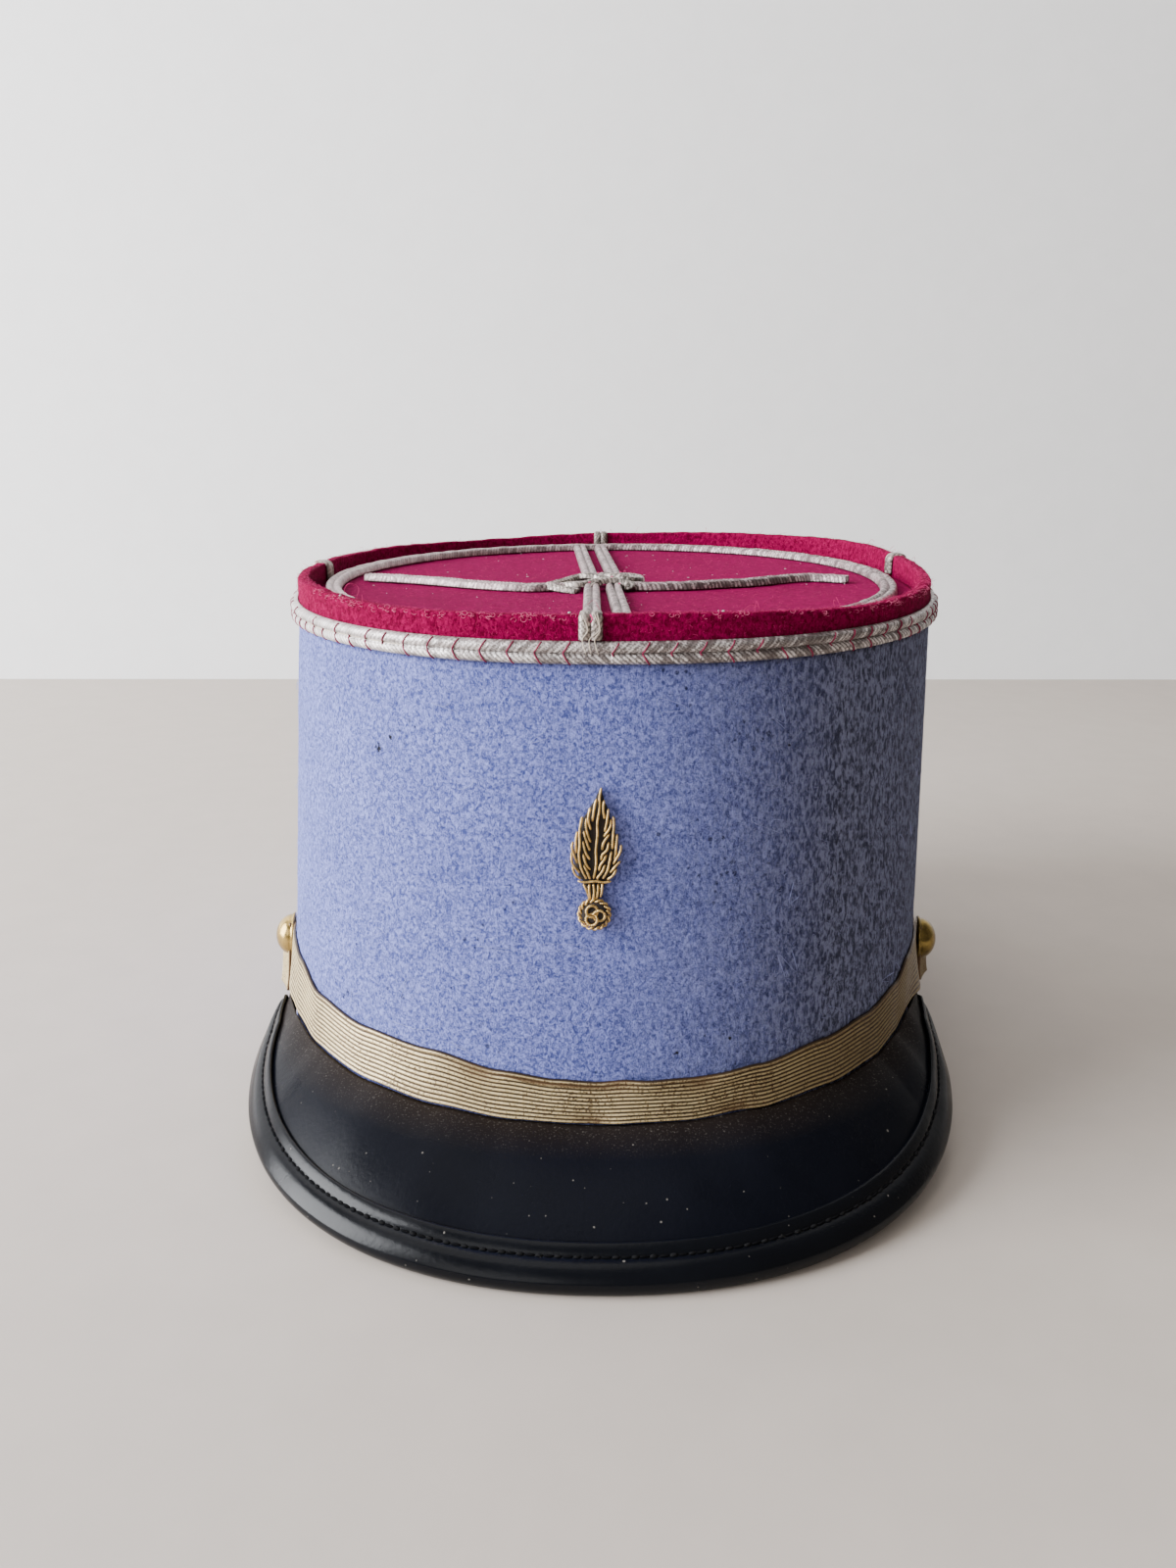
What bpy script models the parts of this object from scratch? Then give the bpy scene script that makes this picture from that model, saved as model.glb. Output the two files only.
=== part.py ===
"""Kepi cap with a braided crimson top, a gold chin strap and a leather peak.

The cap rests by itself on a table at z = 0, on the rear of its base edge and on the front of its peak.
Its front faces -Y and +X is on the right of someone who looks at that front. The origin is under the
middle of its bounding box. Sizes are in metres and angles in degrees. An angle round the crown is
counted from the front, and grows towards the viewer's right.
"""

import math

import bmesh
import bpy
from mathutils import Matrix, Vector

# Base oval: the outer lower edge of the cloth that goes round the head
BASE_HALF_WIDTH = 0.0830
BASE_FRONT_REACH = 0.0977
BASE_REAR_REACH = 0.1032
BASE_ROUNDNESS = 2.46
BASE_FRONT_LIFT = 0.0180
BASE_REST_CUT = 0.0006

# Top oval: the outer upper edge of the same cloth
TOP_HALF_WIDTH = 0.0808
TOP_FRONT_REACH = 0.1016
TOP_REAR_REACH = 0.0934
TOP_ROUNDNESS = 2.27
TOP_SHIFT_BACK = 0.0093
TOP_LEAN_RIGHT = 0.0030
TOP_FRONT_HEIGHT = 0.1150
TOP_REAR_HEIGHT = 0.1177

# Walls and clearance
CLOTH_THICKNESS = 0.0026
GAP = 0.0003

# Crimson rim and the plate sunk inside it
RIM_HEIGHT = 0.00915
RIM_THICKNESS = 0.0026
RIM_CHAMFER = 0.0005
RECESS_DEPTH = 0.0052
PLATE_THICKNESS = 0.0024
PLATE_SAG = 0.0008

# Height of the rim's worn edge over its even height, as shares of RIM_HEIGHT
# columns: angle, lift
RIM_SWAY = (
    (-90, -0.02),
    (-70, 0.02),
    (-46, 0.10),
    (-25, 0.00),
    (5, 0.06),
    (35, -0.06),
    (70, -0.04),
    (90, 0.03),
    (122, 0.14),
    (150, 0.08),
    (180, -0.01),
    (210, -0.14),
    (240, -0.08),
)

# Silver braids, each with two ridges
EDGE_BRAID_WIDTH = 0.0045
EDGE_BRAID_HEIGHT = 0.0018
PLATE_BRAID_WIDTH = 0.0042
PLATE_BRAID_HEIGHT = 0.0021
PLATE_BRAID_INSET = 0.0059
PLATE_BRAID_ROUNDNESS = 2.05
RISER_WIDTH = 0.0052
RISER_HEIGHT = 0.0015
CORD_WIDTH = 0.0042
CORD_HEIGHT = 0.0020

# A braid's section, as shares of half its width and of its height
# columns: across, up
BRAID_SECTION = (
    (-1.00, 0.00),
    (-1.00, 0.40),
    (-0.70, 0.95),
    (-0.35, 0.90),
    (0.00, 0.55),
    (0.35, 0.90),
    (0.70, 0.95),
    (1.00, 0.40),
    (1.00, 0.00),
)

# Where the short braids climb over the rim
# columns: name, angle
RISERS = (
    ("riser_front", -2.3),
    ("riser_right", 97.0),
    ("riser_back", 182.7),
    ("riser_left", -89.0),
)

# Knot on the top plate, and the cords that leave it
KNOT_SHIFT_RIGHT = -0.0025
KNOT_SHIFT_BACK = -0.0090
KNOT_HALF_WIDTH = 0.0096
KNOT_HALF_LENGTH = 0.0080
KNOT_CORD_RADIUS = 0.0010
KNOT_WEAVE = 0.0012
KNOT_LOOP_SHARE = 0.34
KNOT_CLEARANCE = 0.0006

# Routes of the cords from the knot's centre, as shares of TOP_HALF_WIDTH across and back
ARM_ROUTES = {
    "knot_arm_left": (
        (-0.140, -0.090),
        (-0.235, -0.125),
        (-0.375, -0.077),
        (-0.600, 0.046),
        (-0.806, 0.118),
    ),
    "knot_arm_right": (
        (0.140, -0.095),
        (0.260, -0.082),
        (0.400, -0.032),
        (0.500, 0.007),
        (0.670, 0.105),
        (0.812, 0.045),
    ),
}

# Straight cords from the knot to the oval braid, as shares of TOP_HALF_WIDTH across
# columns: name, direction (1 is back), share at the knot, share at the braid
CORD_ROUTES = (
    ("knot_cord_back_left", 1, -0.040, -0.108),
    ("knot_cord_back_right", 1, 0.042, -0.024),
    ("knot_cord_front_left", -1, -0.036, -0.018),
    ("knot_cord_front_right", -1, 0.034, 0.070),
)

# Chin strap
STRAP_WIDTH = 0.0105
STRAP_THICKNESS = 0.0008

# The strap's two edges above the base plane, as shares of STRAP_WIDTH
# columns: angle, low edge, high edge
STRAP_EDGES = (
    (-71, 1.20, 2.28),
    (-58, 0.86, 2.28),
    (-51, 0.82, 2.13),
    (-42, 0.65, 1.74),
    (-31, 0.45, 1.52),
    (-21, 0.29, 1.39),
    (-12, 0.14, 1.12),
    (-5, 0.08, 0.98),
    (0, 0.07, 0.93),
    (4, 0.12, 0.98),
    (11, 0.14, 0.99),
    (20, 0.23, 1.16),
    (29, 0.35, 1.42),
    (37, 0.52, 1.62),
    (46, 0.79, 1.90),
    (52, 1.06, 2.24),
    (60, 1.26, 2.34),
    (71, 1.34, 2.36),
)

# Buttons, and the doubled strap ends that hang from them
BUTTON_ANGLE = 66.4
BUTTON_LEVEL = 0.0195
BUTTON_RADIUS = 0.0058
BUTTON_DOME = 0.0042
BUTTON_FLANGE = 0.0008
BUTTON_BEVEL = 0.00016
TAB_WIDTH = 0.0084
TAB_THICKNESS = 0.0008
TAB_TOP = 0.0235
TAB_FLARE = 0.0012

# Level of each tab's lower end above the base plane
# columns: side, name, level
TABS = (
    (-1, "left", 0.0052),
    (1, "right", 0.0066),
)

# Gold badge on the front of the crown
BADGE_CENTER = -0.0018
STEM_LEVEL = 0.0505
FLAME_HEIGHT = 0.0229
FLAME_HALF_WIDTH = 0.0052
FLAME_THICKNESS = 0.0012
BALL_LEVEL = 0.0470
BALL_RADIUS = 0.0035
BALL_HEIGHT = 0.0016
BADGE_GAP = 0.0004

# Profile of the ball, as shares of BALL_RADIUS and BALL_HEIGHT, with two raised rings of cord
# columns: across, up
BALL_PROFILE = (
    (0.00, 1.00),
    (0.22, 0.92),
    (0.34, 0.72),
    (0.48, 0.90),
    (0.66, 0.58),
    (0.82, 0.66),
    (1.00, 0.30),
    (1.00, 0.00),
    (0.00, 0.00),
)

# Right half of the flame's outline, with the tips and notches of its leaves
# columns: share of FLAME_HALF_WIDTH, share of FLAME_HEIGHT
FLAME_OUTLINE = (
    (0.18, 0.02),
    (0.30, 0.10),
    (0.62, 0.16),
    (0.56, 0.20),
    (0.88, 0.33),
    (1.00, 0.52),
    (0.80, 0.49),
    (0.80, 0.60),
    (0.74, 0.70),
    (0.58, 0.66),
    (0.52, 0.76),
    (0.42, 0.84),
    (0.30, 0.80),
    (0.16, 0.90),
    (0.00, 1.00),
)

# Leather peak
PEAK_SPAN = 60.0
PEAK_HALF_WIDTH = 0.0821
PEAK_REACH = 0.0296
PEAK_WIDEST_AT = -0.0545
PEAK_ROUNDNESS = 2.15
PEAK_DROOP = 1.5
PEAK_THICKNESS = 0.0020
PEAK_SEAM_RISE = 0.0080
PEAK_CORNER_LEVEL = 0.0030
PEAK_CROWN = 0.045
PEAK_ROWS = (0.0, 0.15, 0.35, 0.55, 0.78, 1.0)

# Height of the peak's seam above the base plane, as shares of PEAK_SEAM_RISE
# columns: share of PEAK_SPAN, height
SEAM_HEIGHTS = (
    (0.00, 0.02),
    (0.17, 0.10),
    (0.33, 0.28),
    (0.50, 0.48),
    (0.67, 0.70),
    (0.83, 0.90),
    (1.00, 0.96),
)

# Rolled edge of the peak
EDGE_FLANGE = 0.0066
EDGE_UNDER_FLANGE = 0.0035
EDGE_FLANGE_SHARE = 0.6
EDGE_UNDER_SHARE = 0.4
EDGE_LEATHER = 0.0008
EDGE_BEVEL = 0.0003
EDGE_RADIUS = 0.0022
EDGE_REST_CUT = 0.0002

# Numbers of steps
CROWN_STEPS = 64
WALL_STEPS = 4
STRAP_STEPS = 46
STRAP_ROWS = 4
PEAK_STEPS = 38
CORD_STEPS = 8
ARM_STEPS = 12
KNOT_STEPS = 56
KNOT_SIDES = 6
TURN_STEPS = 18
CURVE_STEPS = 10
OUTLINE_STEPS = 40
CORNER_STEPS = 8
DOME_STEPS = 5

# Points of a turned profile nearer than this become one
AXIS_MERGE = 0.00005

# Colour, roughness and metallic value of each material
FINISHES = {
    "blue_cloth": ((0.26, 0.31, 0.58), 0.95, 0.0),
    "crimson_cloth": ((0.38, 0.01, 0.07), 0.95, 0.0),
    "silver_braid": ((0.55, 0.50, 0.46), 0.45, 0.6),
    "gold_badge": ((0.60, 0.42, 0.14), 0.40, 0.8),
    "gold_strap": ((0.72, 0.60, 0.36), 0.45, 0.5),
    "gilt_brass": ((0.80, 0.56, 0.22), 0.25, 1.0),
    "black_leather": ((0.012, 0.012, 0.015), 0.35, 0.0),
}


def mix(low, high, share):
    return low + (high - low) * share


def table_value(rows, key, column, period=None):
    """Read a column of a table at a key, easing smoothly from row to row."""
    if period:
        key = (key - rows[0][0]) % period + rows[0][0]
        rows = rows + ((rows[0][0] + period,) + rows[0][1:],)
    if key <= rows[0][0]:
        return rows[0][column]
    for before, after in zip(rows, rows[1:]):
        if key <= after[0]:
            share = (key - before[0]) / (after[0] - before[0])
            share = share * share * (3.0 - 2.0 * share)
            return mix(before[column], after[column], share)
    return rows[-1][column]


def curve_through(points, steps):
    """Return steps + 1 points at equal distances along a smooth curve through the given points."""
    ends = [points[0] * 2 - points[1]] + list(points) + [points[-1] * 2 - points[-2]]
    fine = []
    for i in range(1, len(ends) - 2):
        before, start, stop, after = ends[i - 1:i + 3]
        for k in range(CURVE_STEPS):
            t = k / CURVE_STEPS
            bend = (before * 2 - start * 5 + stop * 4 - after) * t * t
            twist = (start * 3 - before - stop * 3 + after) * t ** 3
            fine.append((start * 2 + (stop - before) * t + bend + twist) / 2)
    fine.append(points[-1])
    return points_along(fine, [k / steps for k in range(steps + 1)])


def points_along(points, shares):
    """Return the points at some shares of the length of a run of points."""
    lengths = [0.0]
    for start, stop in zip(points, points[1:]):
        lengths.append(lengths[-1] + (stop - start).length)
    spaced = []
    i = 0
    for part in shares:
        goal = lengths[-1] * part
        while i < len(points) - 2 and lengths[i + 1] < goal:
            i += 1
        share = (goal - lengths[i]) / (lengths[i + 1] - lengths[i])
        spaced.append(points[i].lerp(points[i + 1], share))
    return spaced


def oval_place(half_width, front_reach, rear_reach, roundness, angle):
    """Return the point and the outward normal of an oval in plan, at an angle from the front."""
    turn = math.radians(angle - 90.0)
    across = math.cos(turn)
    along = math.sin(turn)
    reach = front_reach if along < 0 else rear_reach
    total = abs(across / half_width) ** roundness + abs(along / reach) ** roundness
    radius = total ** (-1.0 / roundness)
    point = Vector((radius * across, radius * along, 0.0))
    power = roundness - 1.0
    slope_x = math.copysign(abs(point.x / half_width) ** power / half_width, across)
    slope_y = math.copysign(abs(point.y / reach) ** power / reach, along)
    return point, Vector((slope_x, slope_y, 0.0)).normalized()


def base_height(y):
    """Height of the base plane, which touches the table at the rear."""
    return BASE_FRONT_LIFT * (BASE_REAR_REACH - y) / (BASE_REAR_REACH + BASE_FRONT_REACH)


def top_height(y):
    """Height of the cloth's upper edge."""
    share = (y - TOP_SHIFT_BACK + TOP_FRONT_REACH) / (TOP_FRONT_REACH + TOP_REAR_REACH)
    return mix(TOP_FRONT_HEIGHT, TOP_REAR_HEIGHT, share)


def wall_share_place(angle, share, out=0.0):
    """Point outside the crown's wall, at a share of the way from its base to its top."""
    point, normal = oval_place(
        mix(BASE_HALF_WIDTH, TOP_HALF_WIDTH, share),
        mix(BASE_FRONT_REACH, TOP_FRONT_REACH, share),
        mix(BASE_REAR_REACH, TOP_REAR_REACH, share),
        mix(BASE_ROUNDNESS, TOP_ROUNDNESS, share),
        angle,
    )
    point += Vector((TOP_LEAN_RIGHT, TOP_SHIFT_BACK, 0.0)) * share
    height = mix(base_height(point.y), top_height(point.y), share)
    return point + normal * out + Vector((0.0, 0.0, height)), normal


def wall_place(angle, level, out=0.0):
    """Point outside the crown's wall, at a level above the base plane."""
    share = 0.0
    for _ in range(4):
        y = wall_share_place(angle, share)[0].y
        share = level / (top_height(y) - base_height(y))
    return wall_share_place(angle, share, out)


def top_place(angle, lift, out=0.0):
    """Point outside the crown's wall, at a lift above the cloth's upper edge."""
    point, normal = wall_share_place(angle, 1.0, out)
    return point + Vector((0.0, 0.0, lift)), normal


def rim_lift(angle):
    """Lift of the rim's worn upper edge above the cloth's upper edge."""
    return RIM_HEIGHT * (1.0 + table_value(RIM_SWAY, angle, 1, period=360.0))


def plate_height(x, y):
    """Height of the sunken plate's upper face, which sags towards its middle."""
    across = (x - TOP_LEAN_RIGHT) / TOP_HALF_WIDTH
    along = (y - TOP_SHIFT_BACK) / TOP_REAR_REACH
    sag = PLATE_SAG * max(0.0, 1.0 - across * across - along * along)
    return top_height(y) + RIM_HEIGHT - RECESS_DEPTH - sag


def make_material(name):
    colour, roughness, metallic = FINISHES[name]
    material = bpy.data.materials.new(name)
    material.use_nodes = True
    shader = material.node_tree.nodes["Principled BSDF"]
    shader.inputs["Base Color"].default_value = (*colour, 1.0)
    shader.inputs["Roughness"].default_value = roughness
    shader.inputs["Metallic"].default_value = metallic
    return material


def add_object(name, data, finish, collection, parent):
    obj = bpy.data.objects.new(name, data)
    obj.data.materials.append(make_material(finish))
    obj.data.materials[0].name = name + "_finish"
    collection.objects.link(obj)
    obj.parent = parent
    return obj


def mesh_from_faces(name, points, faces, smooth_angle=40.0):
    mesh = bpy.data.meshes.new(name)
    mesh.from_pydata([tuple(point) for point in points], [], faces)
    work = bmesh.new()
    work.from_mesh(mesh)
    bmesh.ops.recalc_face_normals(work, faces=work.faces)
    work.to_mesh(mesh)
    work.free()
    mesh.shade_smooth()
    mesh.set_sharp_from_angle(angle=math.radians(smooth_angle))
    return mesh


def loft(name, sections, closed):
    """Join closed sections into one skin, as a ring or with a cap at each end."""
    size = len(sections[0])
    points = [point for section in sections for point in section]
    faces = []
    for i in range(len(sections) if closed else len(sections) - 1):
        near = i * size
        far = (i + 1) % len(sections) * size
        for k in range(size):
            side = (k + 1) % size
            faces.append((near + k, near + side, far + side, far + k))
    if not closed:
        faces.append(tuple(range(size)))
        faces.append(tuple(range(len(points) - size, len(points))))
    return mesh_from_faces(name, points, faces)


def sheet(name, rows):
    """Open surface through rows of points."""
    size = len(rows[0])
    points = [point for row in rows for point in row]
    faces = []
    for i in range(len(rows) - 1):
        for k in range(size - 1):
            corner = i * size + k
            faces.append((corner, corner + size, corner + size + 1, corner + 1))
    return mesh_from_faces(name, points, faces)


def thicken(obj, thickness, offset):
    """Give an open surface its thickness, on the side of its normals when offset is 1."""
    modifier = obj.modifiers.new("thickness", "SOLIDIFY")
    modifier.thickness = thickness
    modifier.offset = offset
    modifier.use_even_offset = True
    return obj


def braid_section(place, across, up, width, height):
    """Two ridged section of a braid whose flat underside is centred on a place."""
    return [place + across * (width / 2 * row[0]) + up * (height * row[1]) for row in BRAID_SECTION]


def crown_body():
    """Hollow cloth tube, cut flat where its rear edge rests on the table."""
    sections = []
    for i in range(CROWN_STEPS):
        angle = 360.0 * i / CROWN_STEPS
        section = []
        for out, steps in ((0.0, range(WALL_STEPS + 1)), (-CLOTH_THICKNESS, range(WALL_STEPS, -1, -2))):
            for k in steps:
                point = wall_share_place(angle, k / WALL_STEPS, out)[0]
                if k == 0:
                    point.z = max(0.0, base_height(point.y) - BASE_REST_CUT)
                section.append(point)
        sections.append(section)
    return loft("crown_body", sections, closed=True)


def crown_rim():
    """Upstand of crimson cloth on top of the wall, with a worn upper edge."""
    sections = []
    for i in range(CROWN_STEPS):
        angle = 360.0 * i / CROWN_STEPS
        lift = rim_lift(angle)
        inside = -RIM_THICKNESS
        corners = (
            (0.0, GAP),
            (0.0, lift - RIM_CHAMFER),
            (-RIM_CHAMFER, lift),
            (inside + RIM_CHAMFER, lift),
            (inside, lift - RIM_CHAMFER),
            (inside, GAP),
        )
        sections.append([top_place(angle, level, out)[0] for out, level in corners])
    return loft("crown_rim", sections, closed=True)


def top_plate():
    """Sunken oval plate as an open disc of two rings round its middle point."""
    middle = Vector((TOP_LEAN_RIGHT, TOP_SHIFT_BACK, 0.0))
    middle.z = plate_height(middle.x, middle.y)
    points = [middle]
    faces = []
    for ring, share in enumerate((0.5, 1.0)):
        first = 1 + ring * CROWN_STEPS
        for i in range(CROWN_STEPS):
            edge = top_place(360.0 * i / CROWN_STEPS, 0.0, -RIM_THICKNESS - GAP)[0]
            point = middle.lerp(edge, share)
            point.z = plate_height(point.x, point.y)
            points.append(point)
            side = (i + 1) % CROWN_STEPS
            if ring == 0:
                faces.append((0, first + i, first + side))
            else:
                inner = first - CROWN_STEPS
                faces.append((inner + i, first + i, first + side, inner + side))
    return mesh_from_faces("top_plate", points, faces)


def edge_braid():
    """Braid that covers the joint between the cloth and the rim."""
    up = Vector((0.0, 0.0, 1.0))
    sections = []
    for i in range(CROWN_STEPS):
        place, normal = top_place(360.0 * i / CROWN_STEPS, EDGE_BRAID_WIDTH / 2, GAP)
        sections.append(braid_section(place, up, normal, EDGE_BRAID_WIDTH, EDGE_BRAID_HEIGHT))
    return loft("edge_braid", sections, closed=True)


def plate_braid_place(angle, out=0.0):
    """Point on the middle line of the oval braid, with the plate's clearance under it."""
    inset = RIM_THICKNESS + PLATE_BRAID_INSET
    point, normal = oval_place(
        TOP_HALF_WIDTH - inset,
        TOP_FRONT_REACH - inset,
        TOP_REAR_REACH - inset,
        PLATE_BRAID_ROUNDNESS,
        angle,
    )
    point += Vector((TOP_LEAN_RIGHT, TOP_SHIFT_BACK, 0.0)) + normal * out
    point.z = plate_height(point.x, point.y) + GAP
    return point, normal


def plate_braid():
    """Oval braid that lies on the sunken plate."""
    up = Vector((0.0, 0.0, 1.0))
    sections = []
    for i in range(CROWN_STEPS):
        place, normal = plate_braid_place(360.0 * i / CROWN_STEPS)
        sections.append(braid_section(place, normal, up, PLATE_BRAID_WIDTH, PLATE_BRAID_HEIGHT))
    return loft("plate_braid", sections, closed=True)


def riser(name, angle):
    """Short braid from the edge braid, over the rim and down to the plate."""
    normal = top_place(angle, 0.0)[1]
    across = Vector((-normal.y, normal.x, 0.0))
    rise = Vector((0.0, 0.0, 1.0))
    high = rim_lift(angle)
    inside = -RIM_THICKNESS
    corner = GAP * math.cos(math.radians(45.0)) - RIM_CHAMFER / 2
    shoulder = 2 * RIM_CHAMFER
    foot = RIM_HEIGHT - RECESS_DEPTH + GAP
    route = (
        (GAP, EDGE_BRAID_WIDTH + GAP, 0.0),
        (GAP, high - shoulder, 0.0),
        (corner, high + corner, 45.0),
        (-shoulder, high + GAP, 90.0),
        (inside + shoulder, high + GAP, 90.0),
        (inside - corner, high + corner, 135.0),
        (inside - GAP, high - shoulder, 180.0),
        (inside - GAP, foot, 180.0),
    )
    sections = []
    for out, lift, lean in route:
        place = top_place(angle, lift, out)[0]
        up = normal * math.cos(math.radians(lean)) + rise * math.sin(math.radians(lean))
        sections.append(braid_section(place, across, up, RISER_WIDTH, RISER_HEIGHT))
    return loft(name, sections, closed=False)


def knot_middle():
    x = TOP_LEAN_RIGHT + KNOT_SHIFT_RIGHT
    y = TOP_SHIFT_BACK + KNOT_SHIFT_BACK
    return Vector((x, y, 0.0))


def on_plate(point, lift=GAP):
    return Vector((point.x, point.y, plate_height(point.x, point.y) + lift))


def plate_cord(name, points, steps):
    """Two ridged cord that lies on the plate along a smooth route."""
    up = Vector((0.0, 0.0, 1.0))
    route = [on_plate(point) for point in curve_through(points, steps)]
    sections = []
    for i, place in enumerate(route):
        along = route[min(i + 1, steps)] - route[max(i - 1, 0)]
        across = along.cross(up).normalized()
        sections.append(braid_section(place, across, up, CORD_WIDTH, CORD_HEIGHT))
    return loft(name, sections, closed=False)


def arm_route(name):
    """Points of a sideways cord, from the knot to its free end."""
    middle = knot_middle()
    return [middle + Vector((x, y, 0.0)) * TOP_HALF_WIDTH for x, y in ARM_ROUTES[name]]


def cord_route(direction, near, far):
    """Ends of a cord that runs from the knot to the oval braid."""
    middle = knot_middle()
    reach = KNOT_HALF_LENGTH + KNOT_CORD_RADIUS + KNOT_CLEARANCE
    start = middle + Vector((near * TOP_HALF_WIDTH, direction * reach, 0.0))
    stop = middle + Vector((far * TOP_HALF_WIDTH, direction * TOP_REAR_REACH, 0.0))
    inner = -PLATE_BRAID_WIDTH / 2 - GAP
    for _ in range(4):
        offset = stop - Vector((TOP_LEAN_RIGHT, TOP_SHIFT_BACK, 0.0))
        turn = math.degrees(math.atan2(offset.y, offset.x))
        stop.y = plate_braid_place(turn + 90.0, inner)[0].y - direction * KNOT_CLEARANCE
    return [start, start.lerp(stop, 0.5), stop]


def knot_center():
    """Flat woven knot: one closed cord that passes over and under itself."""
    middle = knot_middle()
    route = []
    for i in range(KNOT_STEPS):
        turn = 2 * math.pi * i / KNOT_STEPS
        reach = 1.0 - KNOT_LOOP_SHARE * (1.0 - math.cos(4 * turn))
        x = KNOT_HALF_WIDTH * reach * math.cos(3 * turn)
        y = KNOT_HALF_LENGTH * reach * math.sin(3 * turn)
        lift = GAP + KNOT_CORD_RADIUS + KNOT_WEAVE * (1 + math.sin(4 * turn))
        route.append(on_plate(middle + Vector((x, y, 0.0)), lift))
    sections = []
    for i, place in enumerate(route):
        along = (route[(i + 1) % KNOT_STEPS] - route[i - 1]).normalized()
        across = along.cross(Vector((0.0, 0.0, 1.0))).normalized()
        up = across.cross(along)
        section = []
        for k in range(KNOT_SIDES):
            turn = 2 * math.pi * (k + 0.5) / KNOT_SIDES
            section.append(place + (across * math.cos(turn) + up * math.sin(turn)) * KNOT_CORD_RADIUS)
        sections.append(section)
    return loft("knot_center", sections, closed=True)


def chin_strap():
    """Inner face of the gold strap, which hugs the crown from button to button."""
    rows = []
    first = STRAP_EDGES[0][0]
    last = STRAP_EDGES[-1][0]
    for i in range(STRAP_STEPS + 1):
        angle = mix(first, last, i / STRAP_STEPS)
        low = table_value(STRAP_EDGES, angle, 1) * STRAP_WIDTH
        high = table_value(STRAP_EDGES, angle, 2) * STRAP_WIDTH
        levels = [mix(low, high, k / STRAP_ROWS) for k in range(STRAP_ROWS + 1)]
        rows.append([wall_place(angle, level, GAP)[0] for level in levels])
    return sheet("chin_strap", rows)


def wall_frame(angle, level):
    """Place on the crown's wall, with the directions across it, up it and out of it."""
    place, normal = wall_place(angle, level)
    up = (wall_place(angle, level + BALL_RADIUS)[0] - place).normalized()
    across = up.cross(normal).normalized()
    return place, across, up, across.cross(up)


def button_frame(side):
    return wall_frame(side * BUTTON_ANGLE, BUTTON_LEVEL)


def strap_tab(side, name, low):
    """Inner face of the strap end that hangs from a button, over the strap."""
    middle, across, up, normal = button_frame(side)
    stand_off = GAP + STRAP_THICKNESS + GAP
    below = BUTTON_LEVEL - BUTTON_RADIUS - GAP
    rows = []
    for share in (-1.0, 0.0, 1.0):
        row = []
        for level in (low, mix(low, below, 0.5), below, TAB_TOP):
            flare = TAB_FLARE * max(0.0, (below - level) / (below - low)) ** 2
            place = middle + across * (share * TAB_WIDTH / 2) + up * (level - BUTTON_LEVEL)
            row.append(place + normal * (stand_off + flare))
        rows.append(row)
    return sheet("strap_tab_" + name, rows)


def turned_profile(name, profile, place, axis, finish, collection, parent):
    """Solid turned round an axis, from a profile that runs down its outer side."""
    mesh = bpy.data.meshes.new(name)
    edges = [(i, i + 1) for i in range(len(profile) - 1)]
    mesh.from_pydata([(radius, 0.0, height) for radius, height in profile], edges, [])
    obj = add_object(name, mesh, finish, collection, parent)
    screw = obj.modifiers.new("turn", "SCREW")
    screw.axis = "Z"
    screw.steps = TURN_STEPS
    screw.render_steps = TURN_STEPS
    screw.use_merge_vertices = True
    screw.merge_threshold = AXIS_MERGE
    obj.rotation_euler = axis.to_track_quat("Z", "Y").to_euler()
    obj.location = place
    return obj


def button_profile():
    """Profile of a domed button: a dome on a thin flange."""
    profile = []
    for i in range(DOME_STEPS + 1):
        turn = math.radians(90.0 * i / DOME_STEPS)
        radius = (BUTTON_RADIUS - BUTTON_FLANGE / 2) * math.sin(turn)
        profile.append((radius, BUTTON_FLANGE + BUTTON_DOME * math.cos(turn)))
    profile.append((BUTTON_RADIUS, BUTTON_FLANGE - BUTTON_BEVEL))
    profile.append((BUTTON_RADIUS, BUTTON_BEVEL))
    profile.append((BUTTON_RADIUS - BUTTON_BEVEL, 0.0))
    profile.append((0.0, 0.0))
    return profile


def badge_frame(level):
    """Place of the badge on the front wall, with the directions across it, up it and out of it."""
    return wall_frame(math.degrees(BADGE_CENTER / BASE_FRONT_REACH), level)


def badge_flame(collection, parent):
    """Flame of the grenade: a flat outline with raised edges, on the front of the crown."""
    curve = bpy.data.curves.new("badge_flame", "CURVE")
    curve.dimensions = "2D"
    curve.fill_mode = "BOTH"
    curve.extrude = FLAME_THICKNESS / 2
    right = [(x * FLAME_HALF_WIDTH, y * FLAME_HEIGHT) for x, y in FLAME_OUTLINE]
    left = [(-x, y) for x, y in reversed(right[:-1])]
    outline = right + left
    spline = curve.splines.new("POLY")
    spline.points.add(len(outline) - 1)
    for point, (x, y) in zip(spline.points, outline):
        point.co = (x, y, 0.0, 1.0)
    spline.use_cyclic_u = True
    obj = add_object("badge_flame", curve, "gold_badge", collection, parent)
    place, across, up, normal = badge_frame(STEM_LEVEL)
    turn = Matrix((across, up, normal)).transposed()
    obj.rotation_euler = turn.to_euler()
    obj.location = place + normal * (BADGE_GAP + FLAME_THICKNESS / 2)
    return obj


def peak_stations():
    """Places of the ribs along the peak, from -1 to 1, closer together near the corners."""
    even = [2.0 * i / PEAK_STEPS - 1.0 for i in range(PEAK_STEPS + 1)]
    return [(side + math.sin(side * math.pi / 2)) / 2 for side in even]


def seam_edge(share):
    """Angle and level of the peak's seam at a share of its span, from -1 at the left corner."""
    level = PEAK_SEAM_RISE * table_value(SEAM_HEIGHTS, abs(share), 1)
    return share * PEAK_SPAN, level


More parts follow.
